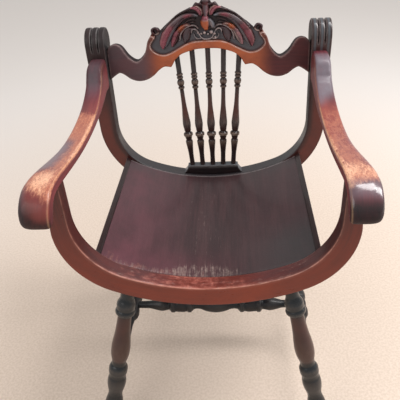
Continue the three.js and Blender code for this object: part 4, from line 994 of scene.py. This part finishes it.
def seat_block(cross, count, radius, masks):
    """One seat piece ruled from bow to bow; cross(half, inset) gives a section's x and z."""
    edge = [(radius * (1 - np.cos(a)) / SEAT_RUN, radius * (1 - np.sin(a)))
            for a in np.radians([0, 30, 60, 90])]
    stations = edge + [(t, 0.0) for t in np.linspace(0, 1, count)[1:-1]] + [(1 - t, i) for t, i in edge[::-1]]
    rings = []
    for share, inset in stations:
        x, z = cross(SEAT_FRONT_HALF + (SEAT_REAR_HALF - SEAT_FRONT_HALF) * share, inset)
        front, rear = BOW_THICK + GAP, rear_face(z) - GAP
        rings.append(np.stack([x, front + (rear - front) * share, z], -1))
    grid = np.array(rings)
    x, y, z = np.moveaxis(grid, -1, 0)
    return grid_block(grid, masks(x, y, z) | {"grain": np.stack([y, x, z], -1)})


def panel_cross(half, inset):
    across = np.linspace(-1, 1, 81)
    half = half - RAIL_WIDTH - inset - GAP
    return np.hstack([seat_point(half, 0.5 + inset, across),
                      seat_point(half, 0.5 + PANEL_THICK - inset, across[::-1])])


def panel_masks(x, y, z):
    from_front, from_rear = y - BOW_THICK, rear_face(z) - y
    near_bow = ease(46 + 14 * np.cos(x / 45), 4, from_front)
    middle = hump(x, -20, 95) * ease(0, 60, from_rear)
    left, right, reach = ease(-20, -190, x), ease(40, 200, x), np.abs(x)
    return {
        # The pale line at the rear lip is a painted highlight, and the grey at the right front and the rear
        # corners a painted sheen
        "wear": near_bow * (0.26 * hump(x, -60, 170) + 0.24 * left),
        "edge": 0.7 * hump(from_rear, 1.2, 2.0),
        "dark": 0.12 + 0.12 * ease(190, 232, reach) + 0.12 * right,
        "warm": 0.5 * left + 0.25 * ease(120, 20, from_front) * ease(120, -60, x) + 0.12 * right,
        "cool": 0.7 * right * ease(190, 50, from_front) + 0.1 * left
        + 0.35 * ease(60, 10, from_rear) * ease(90, 200, reach),
        "scuff": np.clip(near_bow * (0.21 - 0.13 * ease(10, 110, x)) + 0.16 * middle, 0, 0.27),
    }


def rail_cross(half, inset):
    ring = round_ring(3, (2, 2, 2, 2))
    radius = 1.6
    x = half - RAIL_WIDTH + inset + ring[:, 0] * (RAIL_WIDTH - 2 * inset) + ring[:, 1] * radius
    top = SEAT_HEIGHT + ARC_RADIUS - np.sqrt((ARC_RADIUS - 2.0) ** 2 - x**2)
    return x, top - inset - ring[:, 2] * (RAIL_DEPTH - 2 * inset) - ring[:, 3] * radius


def rail_masks(x, y, z):
    return {"edge": 0.25 * hump(x, x.max(axis=1, keepdims=True), 1.0), "dark": 0.78, "warm": 0.1}


def batten_block(front):
    """A curved batten under the panel, against one bow."""
    ring = round_ring(3, (2, 2, 2, 2))
    radius = 1.5
    drop = BATTEN_DROP + ring[:, 0] * BATTEN_HIGH + ring[:, 1] * radius
    x, z = seat_point(BATTEN_HALF, drop, np.linspace(-1, 1, 41)[:, None])
    y = (BOW_THICK + GAP if front else rear_face(z) - GAP - BATTEN_DEEP) + 0 * z
    grid = np.stack([x, y + ring[:, 2] * BATTEN_DEEP + ring[:, 3] * radius, z], -1)
    return grid_block(grid, {"dark": 0.3, "warm": 0.4, "grain": grid})


def spindle_rest():
    """The block that carries the spindles on the rear bow, with hollow flared ends."""
    shares = catmull([(0, 1), (0.82, 1), (0.85, 0.78), (0.915, 0.5), (0.985, 0.24)], 8)
    x, rise = np.vstack([shares[::-1] * [-1, 1], shares[1:]]).T[..., None]
    x, top = x * REST_HALF, SEAT_HEIGHT + REST_HIGH * rise
    floor = SEAT_HEIGHT + ARC_RADIUS - np.sqrt(ARC_RADIUS**2 - x**2) - 0.2
    ring = round_ring(3, (4, 3, 4, 3))
    height = np.maximum(top - floor, 1.5)
    radius = np.minimum(2.0, height * 0.3)
    z = floor + ring[:, 0] * height + ring[:, 1] * radius
    y = REST_FRONT + ring[:, 2] * REST_DEEP + ring[:, 3] * radius
    upper = ease(1.2, 0.2, top - z)
    # All but the top is near black, partly its dark finish and partly painted shade; the grey top is a
    # painted sheen and its pale front arris a painted highlight
    return turned_over(grid_block(np.stack([x + 0 * z, y, z], -1), {
        "edge": 0.35 * hump(top - z, 1.5, 1.5) * hump(y, REST_FRONT + 0.5, 2.0), "cool": 0.7 * upper,
        "dark": 0.95 - 0.8 * upper, "grain": np.stack([x + 0 * z, z, y], -1)}))


make("seat_panel", [seat_block(panel_cross, 70, 1.4, panel_masks)], seat_wood, sharp=55)
make_pair("seat_rail", turned_over(seat_block(rail_cross, 20, 1.2, rail_masks)), rear_wood)
make("seat_batten_front", [batten_block(True)], rear_wood)
make("seat_batten_rear", [batten_block(False)], rear_wood)
make("spindle_block", [spindle_rest()], rear_wood)


# Dowels, which are CAD nodes without values of their own


def dowel_material():
    n = Nodes("dowel_wood")
    streak = n.noise(n.add("TexCoord", {})["Object"], (30, 260, 260), 5)
    color = n.mix(n.span(streak, 0.35, 0.65), linear(196, 158, 112), linear(160, 118, 76))
    return n.finish(color, n.span(streak, 0.3, 0.7, 0.6, 0.75), Normal=n.bump(streak, 0.2, 0.0005))


dowel_wood = dowel_material()
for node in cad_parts.values():
    if not node.hide_render:
        node.data.materials.clear()
        node.data.materials.append(dowel_wood)


# Stage, lights and camera

FLOOR_RADIUS, FLOOR_SIDES = 12, 96
FOCAL_PIXELS, IMAGE_PIXELS, SENSOR_WIDTH = 548.32, 400.0, 36.0


def floor_material():
    n = Nodes("pale_floor")
    coords = n.add("TexCoord", {})["Object"]
    distance = n.add("VectorMath", {0: coords}, operation="LENGTH")["Value"]
    speckle = n.span(n.noise(coords, (160, 160, 160), 3), 0.3, 0.7)
    near = n.mix(speckle, linear(228, 211, 197), linear(214, 196, 180))
    color = n.mix(n.span(distance, 0.5, 2.2), near, linear(240, 234, 230))
    return n.finish(color, 0.9, Specular_IOR_Level=0.1)


floor_mesh = bpy.data.meshes.new("floor")
angles = np.linspace(0, 2 * np.pi, FLOOR_SIDES, endpoint=False)
corners = [(FLOOR_RADIUS * np.cos(a), FLOOR_RADIUS * np.sin(a), 0.0) for a in angles]
floor_mesh.from_pydata(corners, [], [list(range(FLOOR_SIDES))])
floor_mesh.materials.append(floor_material())
floor = bpy.data.objects.new("floor", floor_mesh)
bpy.context.scene.collection.objects.link(floor)

world = bpy.data.worlds.new("studio")
bpy.context.scene.world = world
world.use_nodes = True
sky = world.node_tree.nodes["Background"]
sky.inputs["Color"].default_value = (1.0, 0.985, 0.965, 1)
sky.inputs["Strength"].default_value = 0.62


def lamp(name, place, target, size, power, color):
    data = bpy.data.lights.new(name, "AREA")
    data.shape, data.size, data.size_y = "RECTANGLE", *size
    data.energy, data.color = power, color
    light = bpy.data.objects.new(name, data)
    light.location = place
    light.rotation_euler = (Vector(target) - Vector(place)).to_track_quat("-Z", "Y").to_euler()
    bpy.context.scene.collection.objects.link(light)


lamp("key", (1.1, 0.45, 2.9), (0.1, 0, 0.5), (0.9, 0.9), 29, (1.0, 0.98, 0.97))
lamp("fill", (-1.8, -1.6, 2.4), (0, 0, 0.5), (2.0, 2.0), 24, (1.0, 0.975, 0.95))
lamp("window", (1.95, 0.2, 2.05), (0.29, -0.33, 0.72), (0.7, 1.8), 41, (1.0, 0.99, 0.98))

camera_data = bpy.data.cameras.new("view")
camera_data.sensor_width = SENSOR_WIDTH
camera_data.lens = FOCAL_PIXELS * SENSOR_WIDTH / IMAGE_PIXELS
camera_data.clip_end = 100.0
camera = bpy.data.objects.new("view", camera_data)
right, down = Vector((0.9972, 0.0469, -0.0582)), Vector((-0.0202, -0.5810, -0.8136))
ahead = Vector((-0.0719, 0.8125, -0.5784))
turn = Matrix((right, -down, -ahead)).transposed().to_4x4()
camera.matrix_world = Matrix.Translation((0.0725, -0.8479 + FRONT, 1.2719)) @ turn
bpy.context.scene.collection.objects.link(camera)
bpy.context.scene.camera = camera
bpy.context.scene.view_settings.view_transform = "Standard"
